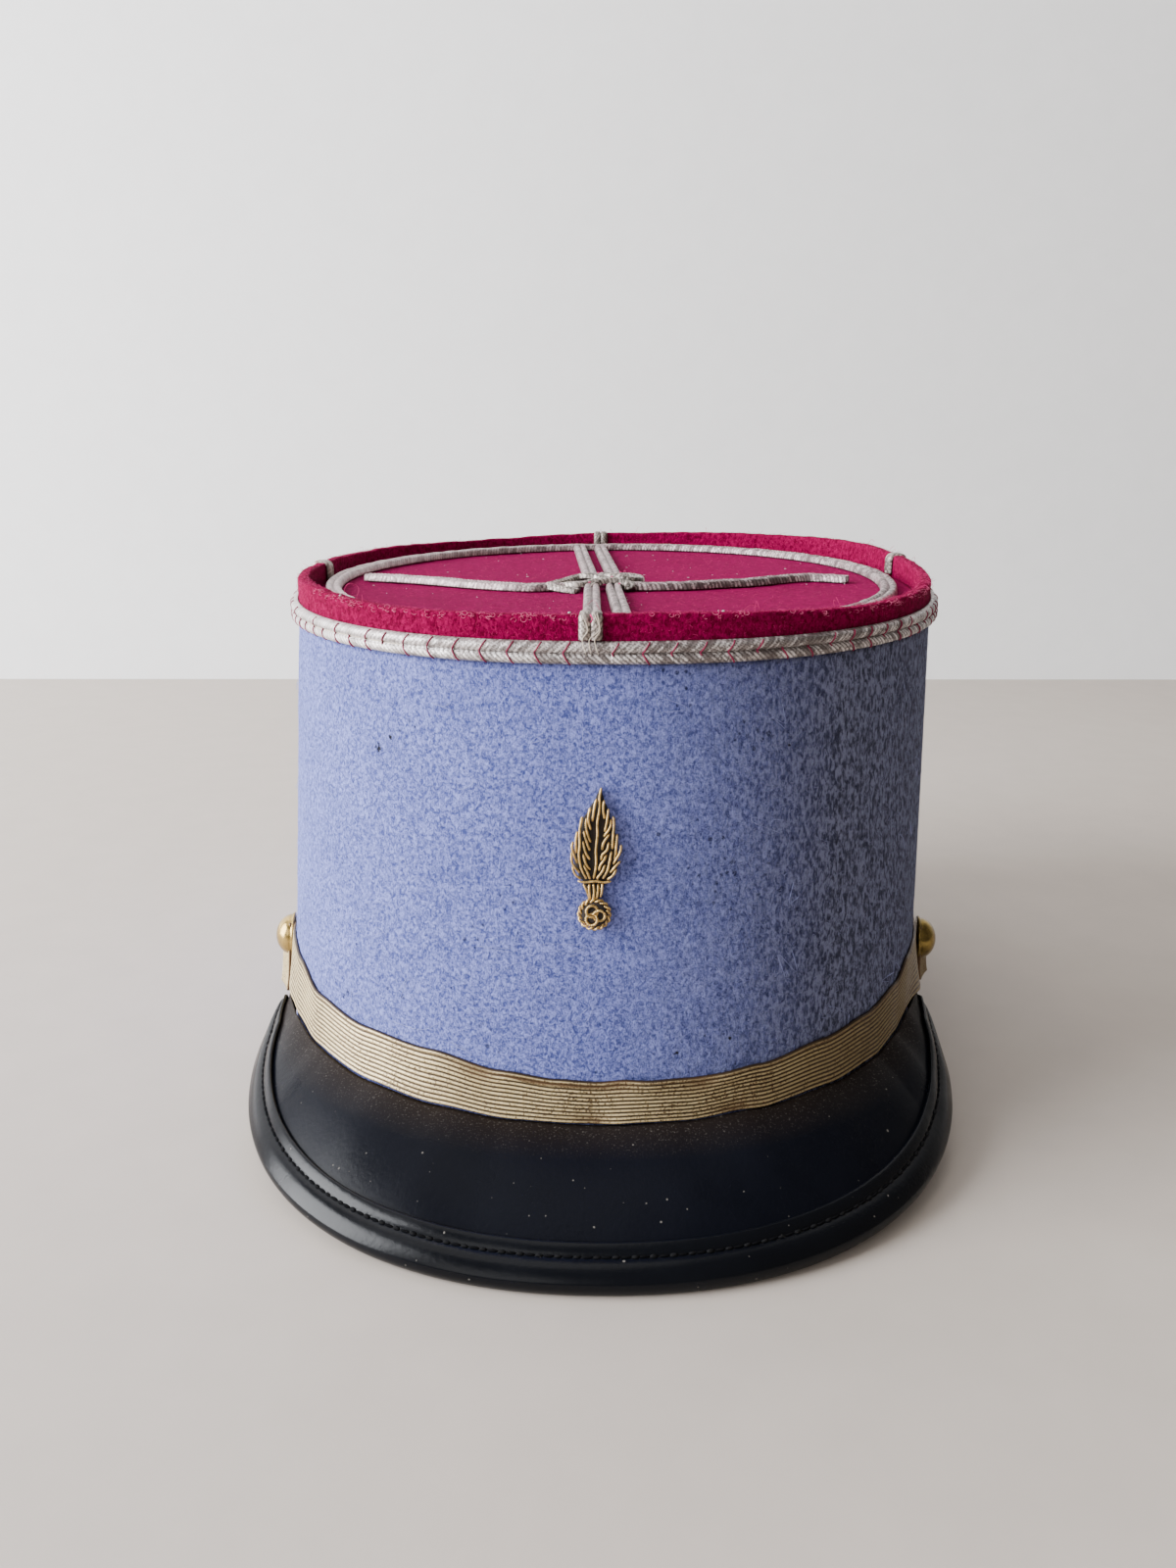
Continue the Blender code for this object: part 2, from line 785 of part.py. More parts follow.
def peak_outline():
    """Edge of the peak's leather, from the left corner round the front to the right corner."""
    rest = EDGE_RADIUS + PEAK_THICKNESS / 2 - EDGE_REST_CUT
    front = -(BASE_FRONT_REACH + PEAK_REACH)
    corner = wall_place(PEAK_SPAN, PEAK_CORNER_LEVEL, 3 * GAP + PEAK_THICKNESS + EDGE_LEATHER)[0]
    right = []
    for i in range(OUTLINE_STEPS + 1):
        turn = math.radians(90.0 * i / OUTLINE_STEPS)
        x = PEAK_HALF_WIDTH * math.sin(turn) ** (2 / PEAK_ROUNDNESS)
        y = PEAK_WIDEST_AT + (front - PEAK_WIDEST_AT) * math.cos(turn) ** (2 / PEAK_ROUNDNESS)
        right.append(Vector((x, y, 0.0)))
    for i in range(1, CORNER_STEPS + 1):
        share = i / CORNER_STEPS
        x = mix(PEAK_HALF_WIDTH, corner.x, share * share)
        right.append(Vector((x, mix(PEAK_WIDEST_AT, corner.y, share), 0.0)))
    for point in right:
        share = max(0.0, (point.y - front) / (corner.y - front))
        point.z = mix(rest, corner.z, share ** PEAK_DROOP)
    left = [Vector((-point.x, point.y, point.z)) for point in reversed(right[1:])]
    return points_along(left + right, [(1.0 + side) / 2 for side in peak_stations()])


def peak_point(rib, share):
    """Point of the peak's upper face at a share of the way from its seam to its edge."""
    seam, edge, lift = rib
    chord = edge - seam
    return seam + chord * share + lift * (4 * share * (1 - share) * PEAK_CROWN * chord.length)


def peak_frame(ribs, i, share):
    """Outward direction along the peak's upper face, and the face's normal."""
    step = 0.01
    outward = peak_point(ribs[i], min(1.0, share + step)) - peak_point(ribs[i], max(0.0, share - step))
    near = ribs[max(0, i - 1)]
    far = ribs[min(PEAK_STEPS, i + 1)]
    along = peak_point(far, share) - peak_point(near, share)
    normal = outward.cross(along).normalized()
    return along.cross(normal).normalized(), normal


def peak_ribs():
    """Rows across the peak: the seam point, the edge point and the direction of the crown between."""
    edge = peak_outline()
    seats = [seam_edge(side) for side in peak_stations()]
    stand_offs = [GAP] * len(seats)
    ribs = []
    for _ in range(4):
        seams = [wall_place(*seat, out)[0] for seat, out in zip(seats, stand_offs)]
        ribs = []
        for i, seam in enumerate(seams):
            far = min(PEAK_STEPS, i + 1)
            near = max(0, i - 1)
            along = edge[far] + seams[far] - edge[near] - seams[near]
            ribs.append((seam, edge[i], (edge[i] - seam).cross(along).normalized()))
        for i, seat in enumerate(seats):
            lean = peak_frame(ribs, i, 0.0)[1].dot(wall_place(*seat)[1])
            stand_offs[i] = GAP + PEAK_THICKNESS * max(0.0, lean)
    return ribs


def peak():
    """Curved leather plate between its seam on the crown and its edge."""
    ribs = peak_ribs()
    sections = []
    for i, rib in enumerate(ribs):
        upper = [peak_point(rib, share) for share in PEAK_ROWS]
        lower = []
        for share, point in zip(PEAK_ROWS, upper):
            lower.append(point - peak_frame(ribs, i, share)[1] * PEAK_THICKNESS)
        sections.append(upper + lower[::-1])
    return loft("peak", sections, closed=False)


def peak_edging():
    """Leather rolled round the edge of the peak, with a flange on its upper face."""
    ribs = peak_ribs()
    half = PEAK_THICKNESS / 2
    over = GAP + EDGE_LEATHER
    under = -PEAK_THICKNESS - GAP
    turn_in = -EDGE_RADIUS / 2
    sections = []
    for i, rib in enumerate(ribs):
        reach = (rib[1] - rib[0]).length
        flange = min(EDGE_FLANGE, EDGE_FLANGE_SHARE * reach)
        below = min(EDGE_UNDER_FLANGE, EDGE_UNDER_SHARE * reach)
        outline = [(-flange, GAP), (-flange, over - EDGE_BEVEL), (-flange + EDGE_BEVEL, over), (turn_in, over)]
        for turn in (60.0, 30.0, 0.0, -30.0, -60.0):
            across = 2 * GAP + EDGE_RADIUS * math.cos(math.radians(turn))
            outline.append((across, EDGE_RADIUS * math.sin(math.radians(turn)) - half))
        outline += [(turn_in, under - EDGE_LEATHER), (-below, under - EDGE_LEATHER), (-below, under)]
        outline += [(GAP, under), (GAP, GAP)]
        section = []
        for across, up in outline:
            share = 1.0 + min(0.0, across) / reach
            outward, normal = peak_frame(ribs, i, share)
            point = peak_point(rib, share) + outward * max(0.0, across) + normal * up
            point.z = max(0.0, point.z)
            section.append(point)
        sections.append(section)
    return loft("peak_edging", sections, closed=False)


def middle_of_cap():
    """Middle of the cap's bounding box in plan."""
    reach = GAP + STRAP_THICKNESS + GAP + TAB_THICKNESS + GAP + BUTTON_FLANGE + BUTTON_DOME
    sides = []
    for side in (-1, 1):
        place, _, _, normal = button_frame(side)
        sides.append(place.x + normal.x * reach)
    front = -(BASE_FRONT_REACH + PEAK_REACH + EDGE_RADIUS)
    rear = TOP_SHIFT_BACK + TOP_REAR_REACH + GAP + EDGE_BRAID_HEIGHT * max(row[1] for row in BRAID_SECTION)
    return Vector(((sides[0] + sides[1]) / 2, (front + rear) / 2, 0.0))


def build():
    for obj in list(bpy.data.objects):
        bpy.data.objects.remove(obj)
    collection = bpy.data.collections.new("kepi_cap")
    bpy.context.scene.collection.children.link(collection)
    cap = bpy.data.objects.new("cap_frame", None)
    collection.objects.link(cap)
    cap.location = -middle_of_cap()

    def add(name, data, finish):
        return add_object(name, data, finish, collection, cap)

    add("crown_body", crown_body(), "blue_cloth")
    add("crown_rim", crown_rim(), "crimson_cloth")
    thicken(add("top_plate", top_plate(), "crimson_cloth"), PLATE_THICKNESS, -1.0)
    add("edge_braid", edge_braid(), "silver_braid")
    add("plate_braid", plate_braid(), "silver_braid")
    for name, angle in RISERS:
        add(name, riser(name, angle), "silver_braid")
    add("knot_center", knot_center(), "silver_braid")
    for name in ARM_ROUTES:
        add(name, plate_cord(name, arm_route(name), ARM_STEPS), "silver_braid")
    for name, direction, near, far in CORD_ROUTES:
        add(name, plate_cord(name, cord_route(direction, near, far), CORD_STEPS), "silver_braid")
    badge_flame(collection, cap)
    place, _, _, normal = badge_frame(BALL_LEVEL)
    ball_place = place + normal * BADGE_GAP
    ball = [(BALL_RADIUS * across, BALL_HEIGHT * up) for across, up in BALL_PROFILE]
    turned_profile("badge_ball", ball, ball_place, normal, "gold_badge", collection, cap)
    thicken(add("chin_strap", chin_strap(), "gold_strap"), STRAP_THICKNESS, 1.0)
    for side, name, low in TABS:
        thicken(add("strap_tab_" + name, strap_tab(side, name, low), "gold_strap"), TAB_THICKNESS, 1.0)
        place, _, _, normal = button_frame(side)
        place += normal * (GAP + STRAP_THICKNESS + GAP + TAB_THICKNESS + GAP)
        turned_profile("button_" + name, button_profile(), place, normal, "gilt_brass", collection, cap)
    add("peak", peak(), "black_leather")
    add("peak_edging", peak_edging(), "black_leather")


build()
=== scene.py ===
import math

import bpy
import numpy as np
from mathutils import Matrix, Vector


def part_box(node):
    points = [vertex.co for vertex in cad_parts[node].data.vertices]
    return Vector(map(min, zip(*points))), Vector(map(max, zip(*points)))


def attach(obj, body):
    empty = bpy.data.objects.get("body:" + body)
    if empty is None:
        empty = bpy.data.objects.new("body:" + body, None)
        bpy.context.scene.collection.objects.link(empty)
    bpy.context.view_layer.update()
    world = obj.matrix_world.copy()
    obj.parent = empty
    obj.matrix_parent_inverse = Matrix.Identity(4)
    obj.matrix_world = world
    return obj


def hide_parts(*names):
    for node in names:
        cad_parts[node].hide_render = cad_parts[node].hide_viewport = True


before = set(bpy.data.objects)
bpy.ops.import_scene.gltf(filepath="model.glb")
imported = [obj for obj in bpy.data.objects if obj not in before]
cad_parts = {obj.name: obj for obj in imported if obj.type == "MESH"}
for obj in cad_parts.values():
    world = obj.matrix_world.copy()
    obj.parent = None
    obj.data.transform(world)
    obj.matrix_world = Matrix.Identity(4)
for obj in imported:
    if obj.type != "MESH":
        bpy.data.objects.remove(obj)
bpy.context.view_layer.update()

# Lengths are in millimetres and angles in degrees, until mesh_piece writes the meshes in metres.
# An angle round the crown is counted from the front and grows towards the viewer's right.
# Points are counted from the middle of the base oval, which FRAME_SHIFT puts in the row's frame.

# Base oval and top oval of the cloth
BASE_HALF_WIDTH = 83.0
BASE_FRONT_REACH = 97.7
BASE_REAR_REACH = 103.2
BASE_ROUNDNESS = 2.46
BASE_FRONT_LIFT = 18.0
TOP_HALF_WIDTH = 80.8
TOP_FRONT_REACH = 101.6
TOP_REAR_REACH = 93.4
TOP_ROUNDNESS = 2.27
TOP_SHIFT_BACK = 9.3
TOP_LEAN_RIGHT = 3.0
TOP_FRONT_HEIGHT = 115.0
TOP_REAR_HEIGHT = 117.7

CLOTH_THICKNESS = 2.6
GAP = 0.3
RIM_HEIGHT = 9.15
RIM_THICKNESS = 2.6
RECESS_DEPTH = 5.2
PLATE_THICKNESS = 2.4
PLATE_SAG = 0.8

# Lift of the rim's worn edge at some angles, as a share of RIM_HEIGHT
RIM_SWAY = (
    (-90, -0.02),
    (-70, 0.02),
    (-46, 0.10),
    (-25, 0.00),
    (5, 0.06),
    (35, -0.06),
    (70, -0.04),
    (90, 0.03),
    (122, 0.14),
    (150, 0.08),
    (180, -0.01),
    (210, -0.14),
    (240, -0.08),
    (270, -0.02),
)

# Braids and cords
EDGE_BRAID_WIDTH = 4.5
EDGE_BRAID_HEIGHT = 1.8
PLATE_BRAID_WIDTH = 4.2
PLATE_BRAID_HEIGHT = 2.1
PLATE_BRAID_INSET = 5.9
PLATE_BRAID_ROUNDNESS = 2.05
RISER_WIDTH = 5.2
RISER_HEIGHT = 1.5
CORD_WIDTH = 4.2
CORD_HEIGHT = 2.0
RISERS = (("front", -2.3), ("right", 97.0), ("back", 182.7), ("left", -89.0))

# Gap under a braid or cord, and distance from thread to thread
SEAT = 0.6 * GAP
BRAID_PITCH = 1.1
RISER_CORNER = 0.9
RISER_SINK = 0.8
# How far the plate braid bulges out on its left side, where, and over how many degrees
PLATE_BRAID_BULGE = (1.9, -88.0, 34.0)
# Crimson stitches of the edge braid
STITCH_RADIUS = 0.17
STITCH_GAP = 5.6

# Knot and cords: places from the knot's middle, across and back
KNOT_MIDDLE = (0.5, 0.3)
KNOT_REACH = 8.4
KNOT_STRAND_WIDTH = 2.9
KNOT_STRAND_HEIGHT = 1.5
ARM_ROUTES = {
    "left": ((-11.3, -7.3), (-19.0, -10.1), (-30.3, -6.2), (-48.5, 3.7), (-65.1, 9.5)),
    "right": ((11.3, -7.7), (21.0, -6.6), (32.3, -2.6), (40.4, 0.6), (54.1, 8.5), (65.6, 3.6)),
}
# Straight cords: name, direction (1 is back), place across at the knot and at the oval braid
CORD_ROUTES = (
    ("back_left", 1, -3.2, -8.7),
    ("back_right", 1, 3.4, -1.9),
    ("front_left", -1, -2.9, -1.5),
    ("front_right", -1, 2.7, 5.7),
)
# Strands of the knot: across and back from its middle, and over the plate
KNOT_STRANDS = (
    ((-14.0, -8.6, 1.3), (-10.6, -5.4, 1.9), (-7.0, -1.5, 2.6), (-3.5, -2.5, 3.2), (0.5, -5.0, 2.4),
     (5.5, -7.5, 1.2), (11.0, -8.2, 0.9)),
    ((-14.6, -9.2, 1.3), (-10.6, -11.4, 0.8), (-6.6, -13.2, 0.5)),
    ((-10.5, -7.0, 1.2), (-6.0, -9.0, 1.7), (-1.5, -6.5, 2.2), (2.0, -1.0, 2.8), (5.0, 2.4, 2.6),
     (8.6, 1.8, 2.3), (9.6, -1.8, 2.0), (7.2, -4.4, 2.5), (3.0, -3.6, 3.3), (-2.0, 0.2, 2.8),
     (-6.5, 1.5, 2.0), (-9.0, -1.5, 1.4)),
    ((-3.6, -10.4, 0.9), (-0.6, -8.0, 2.4), (3.4, -7.2, 2.5), (6.6, -8.6, 1.7), (7.0, -11.0, 0.9)),
    ((-4.0, 4.6, 0.9), (-0.5, 3.4, 2.2), (3.6, 0.0, 2.3), (6.4, -4.6, 1.6), (11.6, -6.6, 0.8)),
)
# Crimson threads that show between the strands of the knot: across, back, and over the plate
KNOT_FLECKS = (
    (-1.0, -2.6, 4.0),
    (2.6, -7.9, 3.6),
    (-3.2, -9.9, 2.4),
    (4.8, -3.4, 4.2),
    (6.0, 1.6, 3.9),
    (4.6, -13.0, 2.4),
)

# Chin strap, with its edges as angle, low edge and high edge above the base edge
STRAP_WIDTH = 10.5
STRAP_THICKNESS = 0.8
STRAP_RIBS = 11
# How far it covers the peak's seam, and how far its low edge stands off near its left and right end
STRAP_COVER = 0.9
STRAP_FLARES = (0.9, 1.9)
STRAP_EDGES = (
    (-71, 12.6, 23.9),
    (-58, 9.0, 23.9),
    (-51, 8.6, 22.4),
    (-42, 6.8, 18.3),
    (-31, 4.7, 16.0),
    (-21, 3.0, 14.6),
    (-12, 1.5, 11.8),
    (-5, 0.8, 10.3),
    (0, 0.7, 9.8),
    (4, 1.3, 10.3),
    (11, 1.5, 10.4),
    (20, 2.4, 12.2),
    (29, 3.7, 14.9),
    (37, 5.5, 17.0),
    (46, 8.3, 20.0),
    (52, 10.8, 23.5),
    (58, 11.2, 24.4),
    (61, 10.8, 24.6),
    (65, 13.2, 24.8),
    (71, 14.1, 24.8),
)
# Folds of the strap: angle, share of the width from its low edge, and depth in millimetres
STRAP_FOLDS = (
    (-15.0, 0.92, 0.25),
    (2.5, 0.95, 0.45),
    (12.5, 0.90, 0.45),
    (-0.7, 0.04, 0.40),
    (16.8, 0.05, 0.40),
)
# Worn, darker places of the strap, as angles
STRAP_WORN_AT = (-26, -1, 9.5, 18)

# Buttons and the tabs under them
BUTTON_PLACE = 69.2
BUTTON_LEVEL = 19.5
BUTTON_RADIUS = 5.8
BUTTON_DOME = 4.2
BUTTON_FLANGE = 0.8
BUTTON_ROLL = 0.42
TAB_WIDTH = 8.4
TAB_THICKNESS = 0.8
TAB_TOP = 23.5
TAB_FLARE = 1.2
TAB_TURN = 2.4
TAB_STAND = 2.7
# Side, name, low end and how far the tab and button sink into the cloth's nap
TABS = ((-1, "left", 5.2, 2.0), (1, "right", 9.4, 1.2))

# Badge on the front wall
BADGE_CENTER = -1.06
STEM_LEVEL = 50.5
BALL_LEVEL = 47.0
BALL_RADIUS = 3.5
# Reach of the ball's outer ring, and of the wire looped inside it with its sway
BALL_RING = 2.95
BALL_LOOPS = (1.22, 0.93)
WIRE_RADIUS = 0.245
WIRE_PITCH = 0.38
WIRE_DEPTH = 0.17
# Gold wires of the badge's flame: distances to the right of its middle and above its foot
FLAME_WIRES = (
    ((0.6, 22.7), (0.3, 20.7), (0.4, 18.8), (0.0, 15.6), (0.1, 13.0), (-0.1, 10.2), (0.0, 6.8), (-0.4, 4.0)),
    ((-0.3, 20.4), (-0.6, 19.0), (-1.0, 15.8)),
    ((-1.5, 18.6), (-1.8, 16.4), (-1.2, 14.1)),
    ((-2.2, 16.4), (-2.1, 14.3), (-1.2, 11.5)),
    ((-2.6, 13.8), (-2.1, 12.1), (-1.3, 9.8)),
    ((-2.7, 11.7), (-2.1, 9.6), (-1.2, 7.9)),
    ((-2.6, 9.1), (-2.0, 7.2), (-1.1, 5.8)),
    ((-2.4, 6.8), (-1.6, 5.3), (-1.1, 3.9)),
    ((-3.0, 16.7), (-3.4, 13.8), (-3.3, 11.3), (-3.4, 8.7), (-2.9, 6.2), (-1.8, 3.9)),
    ((-3.9, 13.6), (-4.1, 11.7), (-4.0, 9.1)),
    ((-4.7, 11.5), (-4.8, 10.0), (-3.7, 7.1)),
    ((-4.9, 9.4), (-4.7, 7.2), (-3.2, 5.1)),
    ((-4.7, 6.4), (-4.1, 4.9), (-2.9, 3.8)),
    ((1.2, 20.2), (1.1, 18.5), (1.4, 16.4)),
    ((2.1, 18.5), (1.9, 16.0), (1.5, 13.8)),
    ((2.7, 16.4), (2.5, 14.7), (1.3, 12.7)),
    ((2.5, 13.4), (1.4, 11.7), (1.1, 10.0)),
    ((2.4, 11.7), (2.1, 10.2), (1.2, 9.1), (1.0, 7.9)),
    ((2.0, 9.1), (1.6, 8.1), (0.9, 7.0), (0.6, 5.7)),
    ((1.8, 7.0), (1.2, 5.5), (0.5, 4.5), (0.4, 3.8)),
    ((3.1, 17.0), (3.3, 15.6), (3.2, 13.0), (3.1, 10.2)),
    ((3.0, 9.8), (2.7, 7.9), (2.3, 5.9), (1.4, 4.0)),
    ((4.0, 13.4), (3.9, 11.3), (3.7, 8.1)),
    ((4.9, 11.2), (4.6, 9.6), (3.4, 7.2)),
    ((4.8, 7.9), (3.7, 6.6), (2.8, 5.3)),
    ((4.1, 6.2), (3.4, 4.9), (2.3, 3.9)),
    ((-3.5, 3.4), (-2.0, 3.3), (0.0, 3.6), (1.6, 3.4), (3.1, 3.6)),
    ((-2.4, 2.9), (-1.6, 1.3), (-1.1, -0.2)),
    ((-1.2, 2.9), (-1.2, 1.5), (-1.0, -0.2)),
    ((-0.4, 3.0), (-0.2, 1.3), (-0.4, -0.5)),
    ((0.6, 3.0), (0.5, 1.0), (0.3, -0.3)),
    ((1.4, 3.2), (1.3, 1.4), (1.1, 0.2)),
)
# Near-black sheet under the wires, painted shade between them: height above the foot, left edge and right
# edge
FLAME_SHADE_GROUND = (
    (22.3, 0.2, 0.6),
    (20.3, -0.5, 1.1),
    (18.3, -1.6, 1.9),
    (15.6, -3.1, 2.7),
    (12.1, -4.2, 3.9),
    (8.9, -4.6, 4.3),
    (6.2, -4.3, 4.2),
    (4.4, -3.4, 3.4),
    (2.8, -2.3, 1.9),
    (0.8, -1.5, 1.1),
    (-1.0, -1.0, 0.7),
)

# Leather peak
PEAK_SPAN = 60.0
PEAK_HALF_WIDTH = 82.1
PEAK_REACH = 29.6
PEAK_WIDEST_AT = -54.5
PEAK_ROUNDNESS = 2.15
PEAK_DROOP = 1.5
PEAK_THICKNESS = 2.0
PEAK_SEAM_RISE = 8.0
PEAK_CORNER_LEVEL = 3.0
# How far its corners are lifted, left and right, and drawn in, and the ends of its seam raised
PEAK_CORNER_LIFTS = (4.4, 6.2)
PEAK_CORNER_TUCK = 2.2
SEAM_LIFT = 3.2
PEAK_CROWN = 0.045
# Rise of the seam: share of the way from the middle to a corner, and share of PEAK_SEAM_RISE
SEAM_HEIGHTS = (
    (0.0, 0.02), (0.17, 0.10), (0.33, 0.28), (0.5, 0.48), (0.67, 0.70), (0.83, 0.90), (1.0, 0.96),
)
EDGE_FLANGE = 6.6
EDGE_UNDER_FLANGE = 3.5
EDGE_LEATHER = 0.8
EDGE_RADIUS = 2.2
EDGE_REST_CUT = 0.2
EDGE_FULLNESS = 0.18
# Flange's upper face: place from the edge as a share of its width, and height over its leather
FLANGE_PROFILE = (
    (-1.0, -0.35), (-0.97, -0.08), (-0.90, 0.06), (-0.78, 0.02), (-0.66, -0.02), (-0.60, -0.16),
    (-0.545, -0.34), (-0.49, -0.16), (-0.43, 0.08), (-0.34, 0.30), (-0.25, 0.44), (-0.17, 0.50),
)
# Stitches of the peak: their line as a share of the flange's width, their pitch and length
STITCH_LINE = 0.545
STITCH_PITCH = 3.7
STITCH_LENGTH = 2.1

# Moth holes in the felt: across, back, up and radius
MOTH_HOLES = (
    (-45.9, -79.0, 95.0, 0.75),
    (-42.9, -80.8, 97.6, 0.45),
    (38.6, -86.1, 97.5, 0.4),
    (16.6, -96.1, 33.7, 0.4),
    (27.9, -93.8, 36.0, 0.35),
)

# Studio, in metres
WALL_AT = 0.507
LIGHT_AIM = (0.0, 0.0, 0.07)
# The photo's view, placed in millimetres
CAMERA_PLACE = (3.4, -317.0, 155.0)
CAMERA_LENS = 27.02
CAMERA_DOWN = 15.9
CAMERA_TURN = -1.3
CAMERA_ROLL = -0.21

low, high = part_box("crown_body")
FRAME_SHIFT = np.array([low[0] * 1000 + BASE_HALF_WIDTH, high[1] * 1000 - BASE_REAR_REACH, 0.0])
UP = np.array([0.0, 0.0, 1.0])
chance = np.random.default_rng(7)


def mix(first, second, share):
    return first + (second - first) * share


def unit(vectors):
    return vectors / np.maximum(np.linalg.norm(vectors, axis=-1, keepdims=True), 1e-9)


def shade(colour, share):
    return tuple(c * share for c in colour)


def bell(value, middle, width):
    return np.exp(-(((value - middle) / width) ** 2))


def round_angles(count):
    return 360 * np.arange(count) / count


def distances(route):
    """Distance of each point of a route from its first point, along the route."""
    return np.concatenate([[0], np.cumsum(np.linalg.norm(np.diff(route, axis=0), axis=1))])


def at_distances(goals, lengths, points):
    return np.stack([np.interp(goals, lengths, points[:, k]) for k in range(3)], axis=1)


def eased(rows, keys, column=1):
    """A table's column at some keys, eased from row to row."""
    table = np.array(rows, dtype=float)
    keys = np.clip(keys, table[0, 0], table[-1, 0])
    after = np.clip(np.searchsorted(table[:, 0], keys), 1, len(table) - 1)
    share = (keys - table[after - 1, 0]) / (table[after, 0] - table[after - 1, 0])
    share = share * share * (3 - 2 * share)
    return mix(table[after - 1, column], table[after, column], share)


def noise(points, cell, seed):
    """Smooth noise from -1 to 1 at some points, with lumps about as large as cell."""
    place = np.asarray(points, dtype=float) / cell
    base = np.floor(place).astype(np.int64)
    share = place - base
    share = share * share * (3 - 2 * share)
    total = np.zeros(base.shape[:-1])
    for corner in range(8):
        step = np.array([corner & 1, corner >> 1 & 1, corner >> 2 & 1])
        spot = base + step
        key = spot[..., 0] * 73856093 ^ spot[..., 1] * 19349663 ^ spot[..., 2] * 83492791 ^ seed * 2654435761
        key = (key ^ key >> 13) * 1274126177 & 0xFFFFFFFF
        key ^= key >> 16
        weight = np.prod(np.where(step == 1, share, 1 - share), axis=-1)
        total += weight * ((key & 0xFFFF) / 32767.5 - 1)
    return total


def line_noise(keys, cell, seed):
    return noise(np.stack([keys, keys * 0, keys * 0], -1), cell, seed)


def oval(half_width, front_reach, rear_reach, roundness, angle):
    """Points and outward normals of an oval in plan, at angles from the front."""
    turn = np.radians(np.asarray(angle, dtype=float) - 90)
    across, along = np.cos(turn), np.sin(turn)
    reach = np.where(along < 0, front_reach, rear_reach)
    total = np.abs(across / half_width) ** roundness + np.abs(along / reach) ** roundness
    radius = total ** (-1 / roundness)
    x, y = radius * across, radius * along
    slope_x = np.sign(across) * np.abs(x / half_width) ** (roundness - 1) / half_width
    slope_y = np.sign(along) * np.abs(y / reach) ** (roundness - 1) / reach
    points = np.stack([x, y, np.zeros_like(x)], axis=-1)
    return points, unit(np.stack([slope_x, slope_y, np.zeros_like(x)], axis=-1))


def base_height(y):
    return BASE_FRONT_LIFT * (BASE_REAR_REACH - y) / (BASE_REAR_REACH + BASE_FRONT_REACH)


def top_height(y):
    share = (y - TOP_SHIFT_BACK + TOP_FRONT_REACH) / (TOP_FRONT_REACH + TOP_REAR_REACH)
    return mix(TOP_FRONT_HEIGHT, TOP_REAR_HEIGHT, share)


def wall_share(angle, share, out=0.0):
    """Points outside the crown's wall, at shares of the way from its base to its top."""
    angle, share, out = np.broadcast_arrays(np.asarray(angle, float), share, out)
    points, normals = oval(
        mix(BASE_HALF_WIDTH, TOP_HALF_WIDTH, share),
        mix(BASE_FRONT_REACH, TOP_FRONT_REACH, share),
        mix(BASE_REAR_REACH, TOP_REAR_REACH, share),
        mix(BASE_ROUNDNESS, TOP_ROUNDNESS, share),
        angle,
    )
    points[..., 0] += TOP_LEAN_RIGHT * share
    points[..., 1] += TOP_SHIFT_BACK * share
    y = points[..., 1]
    height = mix(base_height(y), top_height(y), share)
    points = points + normals * out[..., None]
    points[..., 2] = height
    return points, normals


def wall_at(angle, level, out=0.0):
    """Points outside the crown's wall, at levels above the base plane."""
    share = np.zeros(np.broadcast(np.asarray(angle, float), level).shape)
    for _ in range(4):
        y = wall_share(angle, share)[0][..., 1]
        share = level / (top_height(y) - base_height(y))
    return wall_share(angle, share, out)


def top_at(angle, lift, out=0.0):
    """Points outside the crown's wall, at lifts above the cloth's upper edge."""
    points, normals = wall_share(angle, np.ones_like(np.asarray(angle, float)), out)
    points[..., 2] += lift
    return points, normals


def rim_lift(angle):
    """Height of the rim's worn edge over the cloth's upper edge."""
    return RIM_HEIGHT * (1 + eased(RIM_SWAY, (np.asarray(angle, float) + 90) % 360 - 90))


def plate_height(x, y):
    """Level of the sunken plate, which sags a little in its middle."""
    across = (x - TOP_LEAN_RIGHT) / TOP_HALF_WIDTH
    along = (y - TOP_SHIFT_BACK) / TOP_REAR_REACH
    sag = PLATE_SAG * np.maximum(0, 1 - across**2 - along**2)
    return top_height(y) + RIM_HEIGHT - RECESS_DEPTH - sag


def wall_frame(angle, level):
    """Place on the crown's wall, with the directions across it, up it and out of it."""
    place, normal = wall_at(angle, level)
    rise = unit(wall_at(angle, level + BALL_RADIUS)[0] - place)
    across = unit(np.cross(rise, normal))
    return place, across, rise, np.cross(across, rise)


def smooth_route(points, step):
    """Points at about equal steps along a smooth curve through the given points."""
    points = np.asarray(points, dtype=float)
    ends = np.vstack([points[0] * 2 - points[1], points, points[-1] * 2 - points[-2]])
    fine = []
    for i in range(1, len(ends) - 2):
        before, start, stop, after = ends[i - 1:i + 3]
        for t in np.arange(0, 1, 0.04):
            bend = (before * 2 - start * 5 + stop * 4 - after) * t * t
            twist = (start * 3 - before - stop * 3 + after) * t**3
            fine.append((start * 2 + (stop - before) * t + bend + twist) / 2)
    fine.append(ends[-2])
    return even_route(np.array(fine), step)


def even_route(fine, step):
    lengths = distances(fine)
    return at_distances(np.linspace(0, lengths[-1], max(2, int(lengths[-1] / step) + 1)), lengths, fine)


def grid_faces(rows, columns, wrap_rows=False, wrap_columns=False):
    """Four-sided faces of a grid of points whose rows follow one another."""
    i, k = np.meshgrid(
        np.arange(rows if wrap_rows else rows - 1),
        np.arange(columns if wrap_columns else columns - 1),
        indexing="ij",
    )
    far, side = (i + 1) % rows, (k + 1) % columns
    corners = (i * columns + k, i * columns + side, far * columns + side, far * columns + k)
    return np.stack([corner.ravel() for corner in corners], axis=1)


